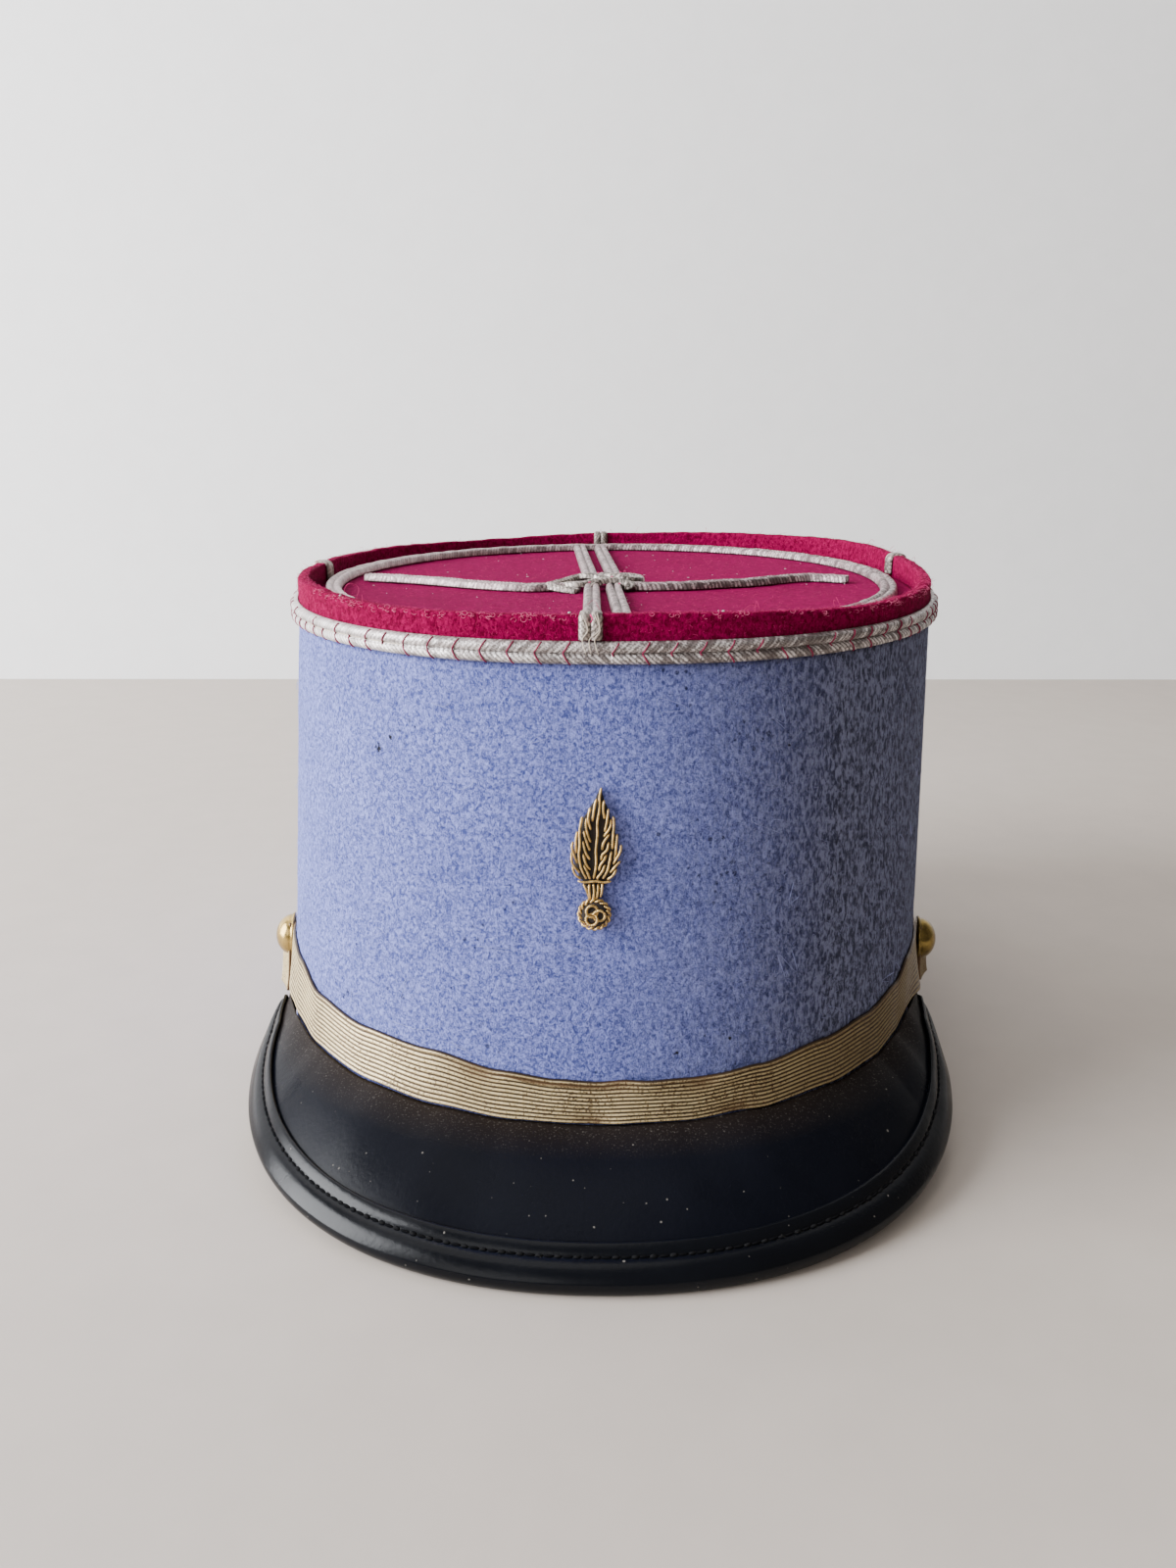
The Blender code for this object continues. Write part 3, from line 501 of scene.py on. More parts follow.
def mesh_piece(
    name, points, quads, caps=(), triangles=(), material=None, slot=None, replaces=(), values=None
):
    """A piece from points in millimetres, with its faces turned outward. values are named, one per point."""
    points = np.asarray(points, dtype=float).reshape(-1, 3)
    quads = np.asarray(quads, dtype=np.int64).reshape(-1, 4)
    triangles = np.asarray(triangles, dtype=np.int64).reshape(-1, 3)
    corners = points[quads]
    volume = np.einsum("ij,ij->", corners[:, 0], np.cross(corners[:, 1], corners[:, 2]))
    volume += np.einsum("ij,ij->", corners[:, 0], np.cross(corners[:, 2], corners[:, 3]))
    if volume < 0:
        quads = quads[:, ::-1]
        triangles = triangles[:, ::-1]
        caps = [cap[::-1] for cap in caps]
    loops = np.concatenate([quads.ravel(), triangles.ravel()] + [np.asarray(cap) for cap in caps])
    sizes = [4] * len(quads) + [3] * len(triangles) + [len(cap) for cap in caps]
    starts = np.concatenate([[0], np.cumsum(sizes)[:-1]])
    mesh = bpy.data.meshes.new(name)
    mesh.vertices.add(len(points))
    mesh.vertices.foreach_set("co", ((points + FRAME_SHIFT) / 1000).ravel())
    mesh.loops.add(len(loops))
    mesh.loops.foreach_set("vertex_index", loops.astype(np.int32))
    mesh.polygons.add(len(sizes))
    mesh.polygons.foreach_set("loop_start", starts.astype(np.int32))
    mesh.update(calc_edges=True)
    mesh.shade_smooth()
    for key, data in (values or {}).items():
        layer = mesh.attributes.new(key, "FLOAT", "POINT")
        layer.data.foreach_set("value", np.asarray(data, dtype=np.float32).ravel())
    obj = bpy.data.objects.new(name, mesh)
    bpy.context.scene.collection.objects.link(obj)
    obj.data.materials.append(material)
    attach(obj, "root")
    if replaces:
        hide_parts(*replaces)
    return obj


def loft_piece(name, sections, closed, **options):
    """A skin over sections of equal size, as a ring or with a cap at each end."""
    rows, columns = sections.shape[:2]
    quads = grid_faces(rows, columns, wrap_rows=closed, wrap_columns=True)
    caps = []
    if not closed:
        first = np.arange(columns)[::-1]
        last = np.arange((rows - 1) * columns, rows * columns)
        caps = [first, last]
    return mesh_piece(name, sections, quads, caps=caps, **options)


def route_axes(route, up):
    """Directions across and up for each point of a route."""
    along = unit(np.gradient(route, axis=0))
    across = unit(np.cross(along, np.broadcast_to(up, route.shape)))
    return across, np.cross(across, along)


def tube_points(route, radius, sides, up=UP, coil=None):
    """Rings of points round a route. coil is (turns per mm, depth) of a raised thread wound round it."""
    route = np.asarray(route, dtype=float)
    across, rise = route_axes(route, up)
    turn = 2 * np.pi * (np.arange(sides) + 0.5) / sides
    swell = np.ones((len(route), sides))
    if coil:
        swell += coil[1] * np.cos(turn[None] - 2 * np.pi * coil[0] * distances(route)[:, None])
    reach = np.broadcast_to(np.asarray(radius, dtype=float), (len(route),))[:, None] * swell
    ring = across[:, None] * np.cos(turn)[None, :, None] + rise[:, None] * np.sin(turn)[None, :, None]
    return route[:, None] + ring * reach[..., None]


def tubes_piece(name, tubes, **options):
    """Many closed tubes as one piece. Each tube is an array of rings of points."""
    points, quads, caps, count = [], [], [], 0
    for tube in tubes:
        rows, sides = tube.shape[:2]
        points.append(tube.reshape(-1, 3))
        quads.append(grid_faces(rows, sides, wrap_columns=True) + count)
        caps.append(np.arange(sides)[::-1] + count)
        caps.append(np.arange((rows - 1) * sides, rows * sides) + count)
        count += rows * sides
    return mesh_piece(name, np.vstack(points), np.vstack(quads), caps=caps, **options)


class Finish:
    """A Principled material, with short ways to add nodes to it."""

    def __init__(self, name, roughness, metallic=0.0, specular=0.5):
        self.material = bpy.data.materials.new(name)
        self.material.use_nodes = True
        self.tree = self.material.node_tree
        self.shader = self.tree.nodes["Principled BSDF"]
        self.shader.inputs["Roughness"].default_value = roughness
        self.shader.inputs["Metallic"].default_value = metallic
        self.shader.inputs["Specular IOR Level"].default_value = specular
        self.place = self.tree.nodes.new("ShaderNodeTexCoord").outputs["Object"]

    def node(self, kind, settings=None, **sockets):
        node = self.tree.nodes.new(kind)
        for key, value in (settings or {}).items():
            setattr(node, key, value)
        for key, value in sockets.items():
            socket = node.inputs[int(key[1:])] if key[0] == "i" and key[1:].isdigit() else node.inputs[key]
            if isinstance(value, bpy.types.NodeSocket):
                self.tree.links.new(value, socket)
            else:
                socket.default_value = value
        return node

    def link(self, source, key):
        self.tree.links.new(source, self.shader.inputs[key])

    def noise(self, scale, detail=4.0, rough=0.6, stretch=None, distort=0.0):
        vector = self.place
        if stretch:
            vector = self.node("ShaderNodeMapping", Vector=vector, Scale=stretch).outputs[0]
        sockets = {"Scale": scale, "Detail": detail, "Roughness": rough, "Distortion": distort}
        return self.node("ShaderNodeTexNoise", Vector=vector, **sockets).outputs["Fac"]

    def ramp(self, value, low, high, first=0.0, second=1.0):
        sockets = {"Value": value, "From Min": low, "From Max": high, "To Min": first, "To Max": second}
        return self.node("ShaderNodeMapRange", **sockets).outputs[0]

    def math(self, operation, first, second=0.0):
        return self.node("ShaderNodeMath", {"operation": operation}, i0=first, i1=second).outputs[0]

    def blend(self, share, first, second):
        """Colour from first to second by a share. Each colour is a socket or its red, green and blue."""
        first, second = ((*value, 1.0) if isinstance(value, tuple) else value for value in (first, second))
        return self.node("ShaderNodeMix", {"data_type": "RGBA"}, i0=share, i6=first, i7=second).outputs[2]

    def attribute(self, name):
        return self.node("ShaderNodeAttribute", {"attribute_name": name}).outputs["Fac"]

    def across(self):
        """Place to the viewer's right, in metres."""
        return self.node("ShaderNodeSeparateXYZ", Vector=self.place).outputs["X"]

    def cells(self, scale):
        """Distance to the nearest of many scattered points."""
        node = self.node("ShaderNodeTexVoronoi", Vector=self.place, Scale=scale, Randomness=1.0)
        return node.outputs["Distance"]

    def bump(self, height, distance, strength=1.0):
        return self.node("ShaderNodeBump", Height=height, Distance=distance, Strength=strength).outputs[0]

    def spots(self, places):
        """1 inside small ragged spots, and 0 elsewhere. A place is a point and a radius in millimetres."""
        total = None
        ragged = self.ramp(self.noise(1300, 3, 0.7), 0.3, 0.7, 0.25, 1.75)
        for *place, radius in places:
            point = tuple((np.array(place) + FRAME_SHIFT) / 1000)
            far = self.node("ShaderNodeVectorMath", {"operation": "DISTANCE"}, i0=self.place, i1=point)
            share = self.math("DIVIDE", far.outputs["Value"], self.math("MULTIPLY", ragged, radius / 1000))
            spot = self.ramp(share, 1.15, 0.7)
            total = spot if total is None else self.math("MAXIMUM", total, spot)
        return total


def felt_finish(name, dark, light, lump, sheen, pits=0.0, moth_holes=(), shade_grey=None):
    """Napped wool: curled fibres in lumps, with small dark pits in patches, and painted shade that makes it
    greyer, darker and more mottled towards the right.

    lump is the scale of the noise, and sheen its red, green, blue and weight.
    """
    felt = Finish(name, 0.95, specular=0.04)
    lumps = felt.noise(lump, 5, 0.68, distort=0.7)
    fibres = felt.noise(lump * 2.6, 3, 0.6, stretch=(1.0, 1.0, 0.5), distort=1.2)
    broad = felt.noise(45, 3, 0.5)
    nap = felt.math("ADD", felt.math("MULTIPLY", lumps, 0.62), felt.math("MULTIPLY", fibres, 0.38))
    colour = felt.blend(felt.ramp(nap, 0.42, 0.59), dark, light)
    colour = felt.blend(felt.ramp(broad, 0.35, 0.7, 0.0, 0.18), colour, shade(dark, 0.72))
    height = nap
    # Painted shade: from the middle to 50 mm right of it the colour turns to a darker grey blue with dark
    # streaks, up to 94 percent.
    if shade_grey:
        across = felt.across()
        streak = felt.noise(1150, 5, 0.7, stretch=(1.0, 1.0, 0.45), distort=0.6)
        painted_shade = felt.blend(felt.ramp(streak, 0.43, 0.58), shade(shade_grey, 0.10), shade_grey)
        colour = felt.blend(felt.ramp(across, 0.0, 0.050, 0.0, 0.94), colour, painted_shade)
    if pits:
        cells = felt.cells(520.0)
        patch = felt.ramp(felt.noise(55, 2), 0.52, 0.72, 0.0, pits)
        pit = felt.ramp(felt.math("SUBTRACT", cells, patch), 0.05, -0.08)
        pit = felt.math("MULTIPLY", pit, felt.ramp(lumps, 0.62, 0.48))
        colour = felt.blend(felt.math("MULTIPLY", pit, 0.8), colour, shade(dark, 0.22))
        height = felt.math("SUBTRACT", height, felt.math("MULTIPLY", pit, 0.3))
    if moth_holes:
        hole = felt.spots(moth_holes)
        colour = felt.blend(hole, colour, (0.01, 0.01, 0.016))
        height = felt.math("SUBTRACT", height, hole)
    felt.link(colour, "Base Color")
    felt.link(felt.bump(height, 0.0008, 1.0), "Normal")
    felt.shader.inputs["Sheen Weight"].default_value = sheen[3]
    felt.shader.inputs["Sheen Roughness"].default_value = 0.5
    felt.shader.inputs["Sheen Tint"].default_value = (*sheen[:3], 1.0)
    return felt.material


def fibre_finish(name, colour):
    """Loose wool fibre."""
    fibre = Finish(name, 0.8, specular=0.3)
    mottle = fibre.noise(700, 2)
    fibre.link(fibre.blend(fibre.ramp(mottle, 0.3, 0.7), shade(colour, 0.6), colour), "Base Color")
    return fibre.material


def braid_finish(name, bright, dull, tarnish):
    """Metal thread braid, speckled and tarnished in patches, with painted shade in its grooves; the specks
    and the groove shade grow darker towards the right, also as painted shade.
    """
    braid = Finish(name, 0.42, metallic=0.4)
    groove = braid.attribute("groove")
    tone = braid.attribute("tone")
    patch = braid.noise(300, 4, 0.6)
    grain = braid.noise(620, 3, 0.75)
    fine = braid.noise(1500, 2, 0.6)
    # Painted shade: the specks and the groove shade are about a third as strong at the left and full from
    # just right of the middle.
    shade_to_right = braid.ramp(braid.across(), -0.06, 0.01, 0.35, 1.0)
    colour = braid.blend(braid.ramp(patch, 0.38, 0.64, 0.0, tarnish), bright, dull)
    specks_and_right_shade = ((grain, 0.50, 0.60, 0.85), (fine, 0.54, 0.62, 0.75), (tone, 0.50, 0.80, 0.85))
    for marks, low, high, share in specks_and_right_shade:
        mark = braid.math("MULTIPLY", braid.ramp(marks, low, high, 0.0, share), shade_to_right)
        colour = braid.blend(mark, colour, shade(dull, 0.24))
    # Painted shade in the dips between threads, in the line between the two ridges and on the under faces.
    depth = braid.math("MULTIPLY", 0.98, braid.ramp(shade_to_right, 0.35, 1.0, 0.6, 1.0))
    colour = braid.blend(braid.math("MULTIPLY", groove, depth), colour, shade(dull, 0.12))
    braid.link(colour, "Base Color")
    braid.link(braid.ramp(fine, 0.3, 0.8, 0.28, 0.6), "Roughness")
    braid.link(braid.bump(braid.math("ADD", grain, fine), 0.0002, 1.0), "Normal")
    return braid.material


def plain_finish(name, colour, roughness, metallic=0.0, grain=900, contrast=0.35, specular=0.5):
    """One colour with faint darker grain."""
    plain = Finish(name, roughness, metallic=metallic, specular=specular)
    mottle = plain.noise(grain, 3)
    plain.link(plain.blend(plain.ramp(mottle, 0.3, 0.7), shade(colour, 1 - contrast), colour), "Base Color")
    plain.link(plain.bump(mottle, 0.0001, 0.6), "Normal")
    return plain.material


def strap_finish():
    """Woven gold band: bright ribs, dark lines between them as painted shade in the grooves, brown worn
    threads, and painted shade towards the right, in the folds and at the ends.
    """
    gold = Finish("worn_gold_galon", 0.42, metallic=0.5)
    rib = gold.attribute("rib")
    worn = gold.attribute("worn")
    border_and_shade = gold.attribute("border_and_shade")
    cross = gold.noise(900, 2, 0.6, stretch=(1.0, 1.0, 0.35))
    speck = gold.noise(2400, 2, 0.7)
    colour = gold.blend(gold.ramp(cross, 0.35, 0.7, 0.0, 0.45), (0.90, 0.73, 0.40), (0.66, 0.48, 0.22))
    fleck = gold.math("ADD", speck, gold.math("MULTIPLY", worn, 0.10))
    across = gold.across()
    # Painted shade: the band turns dark brown towards the right, up to 86 percent by 60 mm right of the
    # middle.
    colour = gold.blend(gold.ramp(across, 0.0, 0.060, 0.0, 0.86), colour, (0.15, 0.105, 0.038))
    colour = gold.blend(gold.ramp(fleck, 0.62, 0.70), colour, (0.09, 0.045, 0.018))
    # Painted shade: the lines between the ribs go nearly black.
    colour = gold.blend(gold.ramp(rib, 0.95, 0.50, 0.0, 0.98), colour, (0.035, 0.018, 0.008))
    # Dark brown on the stripe near the top edge, and painted shade in the folds and at the ends, broken up by
    # specks.
    border_and_shade_mark = gold.math("MULTIPLY", border_and_shade, gold.ramp(speck, 0.35, 0.6, 0.6, 0.97))
    colour = gold.blend(border_and_shade_mark, colour, (0.10, 0.05, 0.02))
    gold.link(colour, "Base Color")
    gold.link(gold.ramp(speck, 0.3, 0.8, 0.32, 0.6), "Roughness")
    gold.link(gold.bump(gold.math("ADD", cross, speck), 0.0001, 0.6), "Normal")
    return gold.material


def leather_finish(name, colour, brown, roughness, gloss, dust):
    """Old polished leather with faint grain, rubbed patches, dust and pale specks."""
    hide = Finish(name, roughness, specular=gloss)
    patch = hide.noise(38, 4, 0.6)
    grain = hide.noise(900, 5, 0.65)
    near = hide.attribute("near_seam")
    base = hide.blend(hide.ramp(patch, 0.35, 0.75, 0.0, 0.7), colour, shade(colour, 1.7))
    base = hide.blend(hide.math("MULTIPLY", near, 0.55), base, brown)
    cells = hide.cells(430.0)
    gate = hide.ramp(hide.noise(420, 3), 0.48, 0.72)
    size = hide.math("MULTIPLY", gate, 0.15)
    speck = hide.ramp(hide.math("SUBTRACT", cells, size), 0.015, -0.015)
    film = hide.ramp(hide.noise(2200, 3, 0.7), 0.58, 0.75)
    film = hide.math("MULTIPLY", film, hide.math("MULTIPLY", near, dust))
    dusty = hide.math("MAXIMUM", hide.math("MULTIPLY", speck, 0.45), film)
    base = hide.blend(dusty, base, (0.28, 0.26, 0.23))
    hide.link(base, "Base Color")
    rough = hide.ramp(patch, 0.3, 0.75, roughness - 0.05, roughness + 0.10)
    rough = hide.math("ADD", rough, hide.math("MULTIPLY", near, 0.25))
    hide.link(hide.math("MAXIMUM", rough, hide.math("MULTIPLY", speck, 0.9)), "Roughness")
    hide.link(hide.bump(grain, 0.00008, 0.7), "Normal")
    return hide.material


def crown_cloth(finish):
    """Blue cloth tube, with a soft nap and slight dents in its outer face."""
    angle = round_angles(470)
    share = np.linspace(0, 1, 82)
    outer, normal = wall_share(angle[:, None], share[None])
    shape = 0.32 * noise(outer, 36, 3) + 0.10 * noise(outer, 11, 4) + 0.10 * noise(outer, 1.5, 5)
    outer = outer + normal * np.clip(shape, -0.6, 0.24)[..., None]
    inner = wall_share(angle[:, None], np.linspace(1, 0, 8)[None], -CLOTH_THICKNESS)[0]
    sections = np.concatenate([outer, inner], axis=1)
    for edge in (0, -1):
        sections[:, edge, 2] = np.maximum(0, base_height(sections[:, edge, 1]) - 0.6)
    loft_piece("crown_cloth", sections, True, material=finish, slot="blue_cloth", replaces=["crown_body"])


def rim_cloth(finish):
    """Crimson upstand with a soft, slightly ragged upper edge."""
    angle = round_angles(520)
    top = rim_lift(angle) + 0.16 * line_noise(angle / 2.2, 1.0, 8)
    fold = 0.6
    bends = [(-fold + fold * math.sin(turn), fold * math.cos(turn)) for turn in np.radians([60, 30, 0])]
    sections = [top_at(angle, mix(GAP, top - fold, share), 0.0) for share in np.linspace(0, 1, 9)]
    sections += [top_at(angle, top - fold + up, out) for out, up in bends]
    sections += [top_at(angle, top - fold + up, -RIM_THICKNESS - out) for out, up in bends[::-1]]
    sections += [top_at(angle, mix(GAP, top - fold, share), -RIM_THICKNESS) for share in np.linspace(1, 0, 7)]
    points = np.stack([points for points, _ in sections], axis=1)
    normal = sections[0][1][:, None]
    middle = top_at(angle, 0.0, -RIM_THICKNESS / 2)[0][:, None]
    side = np.sign(np.sum((points - middle) * normal, axis=-1))
    points = points + normal * (side * 0.07 * noise(points, 1.4, 9))[..., None]
    loft_piece("rim_cloth", points, True, material=finish, slot="crimson_cloth", replaces=["crown_rim"])


def plate_cloth(finish):
    """Sunken crimson top, a little uneven."""
    rings = 60
    angle = round_angles(360)
    edge = top_at(angle, 0.0, -RIM_THICKNESS - GAP)[0]
    middle = np.array([TOP_LEAN_RIGHT, TOP_SHIFT_BACK, 0.0])
    share = np.linspace(0, 1, rings + 1)[1:]
    upper = mix(middle, edge[:, None], share[None, :, None])
    upper[..., 2] = plate_height(upper[..., 0], upper[..., 1])
    flat = upper * np.array([1, 1, 0])
    upper[..., 2] += np.minimum(0.18, 0.16 * noise(flat, 28, 11) + 0.07 * noise(flat, 1.6, 12)) - 0.02
    lower = upper[:, [-1, 0]].copy()
    lower[..., 2] -= PLATE_THICKNESS
    sections = np.concatenate([upper, lower], axis=1)
    rows, columns = sections.shape[:2]
    quads = grid_faces(rows, columns, wrap_rows=True)
    tops = np.arange(rows) * columns
    caps = [tops[::-1], tops + columns - 1]
    mesh_piece(
        "plate_cloth", sections, quads, caps=caps, material=finish, slot="crimson_cloth",
        replaces=["top_plate"],
    )


def braid_ridges(side):
    """Height of a braid's two ridges from edge to edge, and how far up its ridge each place is."""
    ridge = np.sqrt(np.maximum(0, 1 - ((np.abs(side) - 0.5) / 0.5) ** 2)) ** 0.8
    foot = np.where(np.abs(side) < 0.5, 0.45, 0.15)
    return foot + (0.97 - foot) * ridge, ridge


def braid_piece(name, route, across, up, size, finish, replaces, closed=False):
    """Two ridged braid of a width and height, whose threads slant away from its middle line."""
    width, height = size
    side = np.linspace(-1, 1, 15)
    run = distances(route)
    raised, ridge = braid_ridges(side)
    thread = (run[:, None] - np.abs(side)[None] * width * 0.55) / BRAID_PITCH
    part = thread - np.floor(thread)
    bead = np.sqrt(np.maximum(0, 1 - (2 * part - 1) ** 2 * 0.98))
    swell = 1 + 0.05 * line_noise(run, 3.0, 21)[:, None]
    lift = np.maximum(height * raised[None] * swell - 0.16 * (1 - bead) * (0.3 + ridge[None]), 0.12)
    top = route[:, None] + across[:, None] * (side * width / 2)[None, :, None] + up[:, None] * lift[..., None]
    under = route[:, None] + across[:, None] * (np.array([1, -1]) * width / 2)[None, :, None]
    # This marks the dips between threads, the line between the two ridges and the under faces, which the
    # braid's material darkens as painted shade.
    groove = np.clip((1 - bead) * 2.4 + np.where(np.abs(side) < 0.1, 0.5, 0.0)[None], 0, 1)
    number = np.stack([np.floor(thread), thread * 0 + np.sign(side) * 5, thread * 0], -1)
    tone = 0.5 + 0.5 * noise(number, 1.0, 23)
    blank = np.zeros((len(route), 2))
    values = {
        "groove": np.concatenate([groove, blank + 1], axis=1),
        "tone": np.concatenate([tone, blank], axis=1),
    }
    sections = np.concatenate([top, under], axis=1)
    loft_piece(
        name, sections, closed, material=finish, slot="silver_braid", replaces=replaces, values=values
    )


def ring_route(place, step):
    """Evenly spaced angles, points and normals of a closed route, from place(angles), and its length."""
    turn = np.linspace(0, 360, 3601)
    lengths = distances(place(turn)[0])
    goals = np.linspace(0, lengths[-1], int(lengths[-1] / step) + 1)[:-1]
    angle = np.interp(goals, lengths, turn)
    return angle, *place(angle), lengths[-1]


def plate_braid_place(angle, out=0.0):
    """Middle line of the oval braid on the plate."""
    inset = RIM_THICKNESS + PLATE_BRAID_INSET
    points, normals = oval(
        TOP_HALF_WIDTH - inset, TOP_FRONT_REACH - inset, TOP_REAR_REACH - inset, PLATE_BRAID_ROUNDNESS, angle
    )
    bulge, at, width = PLATE_BRAID_BULGE
    out = out + bulge * bell((angle + 180) % 360 - 180, at, width)
    points = points + np.array([TOP_LEAN_RIGHT, TOP_SHIFT_BACK, 0.0]) + normals * np.asarray(out)[..., None]
    points[..., 2] = plate_height(points[..., 0], points[..., 1]) + SEAT
    return points, normals


def round_braids(finish, worn_finish):
    """The braid between cloth and rim, and the oval braid on the plate."""
    _, points, normals, _ = ring_route(lambda angle: top_at(angle, EDGE_BRAID_WIDTH / 2, SEAT), 0.16)
    up = np.broadcast_to(UP, points.shape)
    size = EDGE_BRAID_WIDTH, EDGE_BRAID_HEIGHT
    braid_piece("edge_braid_threads", points, up, normals, size, finish, ["edge_braid"], closed=True)
    _, points, normals, _ = ring_route(plate_braid_place, 0.17)
    up = np.broadcast_to(UP, points.shape)
    size = PLATE_BRAID_WIDTH, PLATE_BRAID_HEIGHT
    braid_piece("plate_braid_threads", points, normals, up, size, worn_finish, ["plate_braid"], closed=True)


def riser_braid(name, angle, finish):
    """Short braid over the rim."""
    normal = top_at(angle, 0.0)[1]
    across = np.array([-normal[1], normal[0], 0.0])
    top = float(rim_lift(angle)) - RISER_SINK
    foot = RIM_HEIGHT - RECESS_DEPTH + GAP * 2
    inside = -RIM_THICKNESS - GAP
    low, high = top - RISER_CORNER, top + GAP
    bends = [(RISER_CORNER * (1 - math.cos(t)), RISER_CORNER * (1 - math.sin(t))) for t in (0.4, 0.8, 1.2)]
    outline = [(GAP, EDGE_BRAID_WIDTH + GAP), (GAP, low)]
    outline += [(GAP - near, high - far) for near, far in bends]
    outline += [(GAP - RISER_CORNER, high), (inside + RISER_CORNER, high)]
    outline += [(inside + far, high - near) for near, far in bends]
    outline += [(inside, low), (inside, foot)]
    flat = even_route(np.array([(out, 0.0, lift) for out, lift in outline]), 0.13)
    route = top_at(np.full(len(flat), angle), flat[:, 2], flat[:, 0])[0]
    up = unit(np.cross(across, unit(np.gradient(route, axis=0))))
    if np.dot(up[0], normal) < 0:
        up = -up
    size = RISER_WIDTH * (0.9 if name in ("front", "back") else 0.8), RISER_HEIGHT * 0.8
    across = np.broadcast_to(across, route.shape)
    braid_piece("riser_threads_" + name, route, across, up, size, finish, ["riser_" + name])


def on_plate(points, lift):
    """Points, given in plan, at a lift over the plate."""
    points = np.array(points, dtype=float)
    if points.shape[-1] == 2:
        points = np.concatenate([points, np.zeros((len(points), 1))], axis=1)
    points[:, 2] = plate_height(points[:, 0], points[:, 1]) + lift
    return points


def flat_cord(name, points, finish):
    """Two ridged cord on the plate."""
    route = on_plate(smooth_route(on_plate(points, 0.0), 0.14), SEAT)
    size = CORD_WIDTH, CORD_HEIGHT
    braid_piece("cord_threads_" + name, route, *route_axes(route, UP), size, finish, [name])


def cord_ends(direction, near, far):
    """Ends of a straight cord from the knot to the oval braid."""
    middle = np.array(KNOT_MIDDLE)
    start = middle + (near, direction * KNOT_REACH)
    stop = middle + (far, direction * TOP_REAR_REACH)
    for _ in range(4):
        turn = math.degrees(math.atan2(stop[1] - TOP_SHIFT_BACK, stop[0] - TOP_LEAN_RIGHT)) + 90
        stop[1] = plate_braid_place(turn, -PLATE_BRAID_WIDTH / 2)[0][1]
    return [start, mix(start, stop, 0.5), stop]


def plate_cords(finish):
    """Cords that run from under the knot over the plate."""
    middle = np.array(KNOT_MIDDLE)
    for side, points in ARM_ROUTES.items():
        under_knot = (points[0][0] * 0.55, points[0][1] * 0.85)
        flat_cord("knot_arm_" + side, [middle + point for point in (under_knot, *points)], finish)
    for name, direction, near, far in CORD_ROUTES:
        flat_cord("knot_cord_" + name, cord_ends(direction, near, far), finish)


def knot(finish):
    """Flat woven knot in the middle of the plate, of several interlaced strands."""
    size = KNOT_STRAND_WIDTH, KNOT_STRAND_HEIGHT
    for number, strand in enumerate(KNOT_STRANDS):
        smooth = smooth_route(np.array(strand) + np.array([*KNOT_MIDDLE, 0.0]), 0.14)
        route = on_plate(smooth[:, :2], 0.0)
        route[:, 2] += smooth[:, 2] - KNOT_STRAND_HEIGHT * 0.4
        replaced = ["knot_center"] if number == 2 else []
        braid_piece(f"knot_strand_{number}", route, *route_axes(route, UP), size, finish, replaced)


def fold_share(angle, across, fold):
    """1 in the middle of one of the strap's folds, fading to 0 round it."""
    return np.exp(-(((angle - fold[0]) / 2.4) ** 2) - ((across - fold[1]) / 0.20) ** 2)


def strap_low(angle):
    """Low edge of the strap, which reaches down to the seam of the peak."""
    drop = STRAP_COVER - 0.4 * np.clip((np.abs(angle) - 36) / 10, 0, 1)
    return np.maximum(eased(STRAP_EDGES, angle, 1) - drop, plain_seam(angle) + 0.12)


def plain_seam(angle):
    """Seam of the peak as the solids have it."""
    return PEAK_SEAM_RISE * eased(SEAM_HEIGHTS, np.minimum(1, np.abs(angle) / PEAK_SPAN))


def seam_level(angle):
    """Seam of the peak, raised at its ends so that the strap covers it."""
    plain = plain_seam(angle)
    return np.clip(strap_low(angle) - 0.1, plain, plain + SEAM_LIFT)


def strap_surface(angle, across, lift):
    """Points at a lift over the strap's inner face, at shares of its width."""
    low = strap_low(angle)
    high = eased(STRAP_EDGES, angle, 2)
    tuck = 0.7 * bell(angle, 3.5, 2.6) * np.maximum(0, 0.35 - across)
    level = mix(low, high, across) + tuck
    out = GAP + lift
    for fold in STRAP_FOLDS:
        beside = (fold[0] + 3.5, fold[1], 0.0)
        raised = 1.2 * fold_share(angle, across, beside) - 0.5 * fold_share(angle, across, fold)
        out = out + fold[2] * raised
    out = out + mix(*STRAP_FLARES, angle > 0) * bell(np.abs(angle), 61, 4.5) * (1 - across) ** 1.5
    out = out + 0.10 * noise(np.stack([angle, across * 6, across * 0], -1), 4.0, 31)
    return wall_at(angle, level, np.maximum(out, 0.2))


def galon_piece(name, front, back, marks, back_border_and_shade, replaced, finish):
    """Ribbed gold band from its two faces, with its front's marks: rib, worn, and the dark edge stripe with
    painted shade.
    """
    blank = np.zeros(back.shape[:2])
    values = {}
    for key, mark, rest in zip(("rib", "worn", "border_and_shade"), marks, (0.5, 0, back_border_and_shade)):
        values[key] = np.concatenate([mark, blank + rest], axis=1)
    loft_piece(
        name, np.concatenate([front, back], axis=1), False, material=finish, slot="gold_galon",
        replaces=[replaced], values=values,
    )


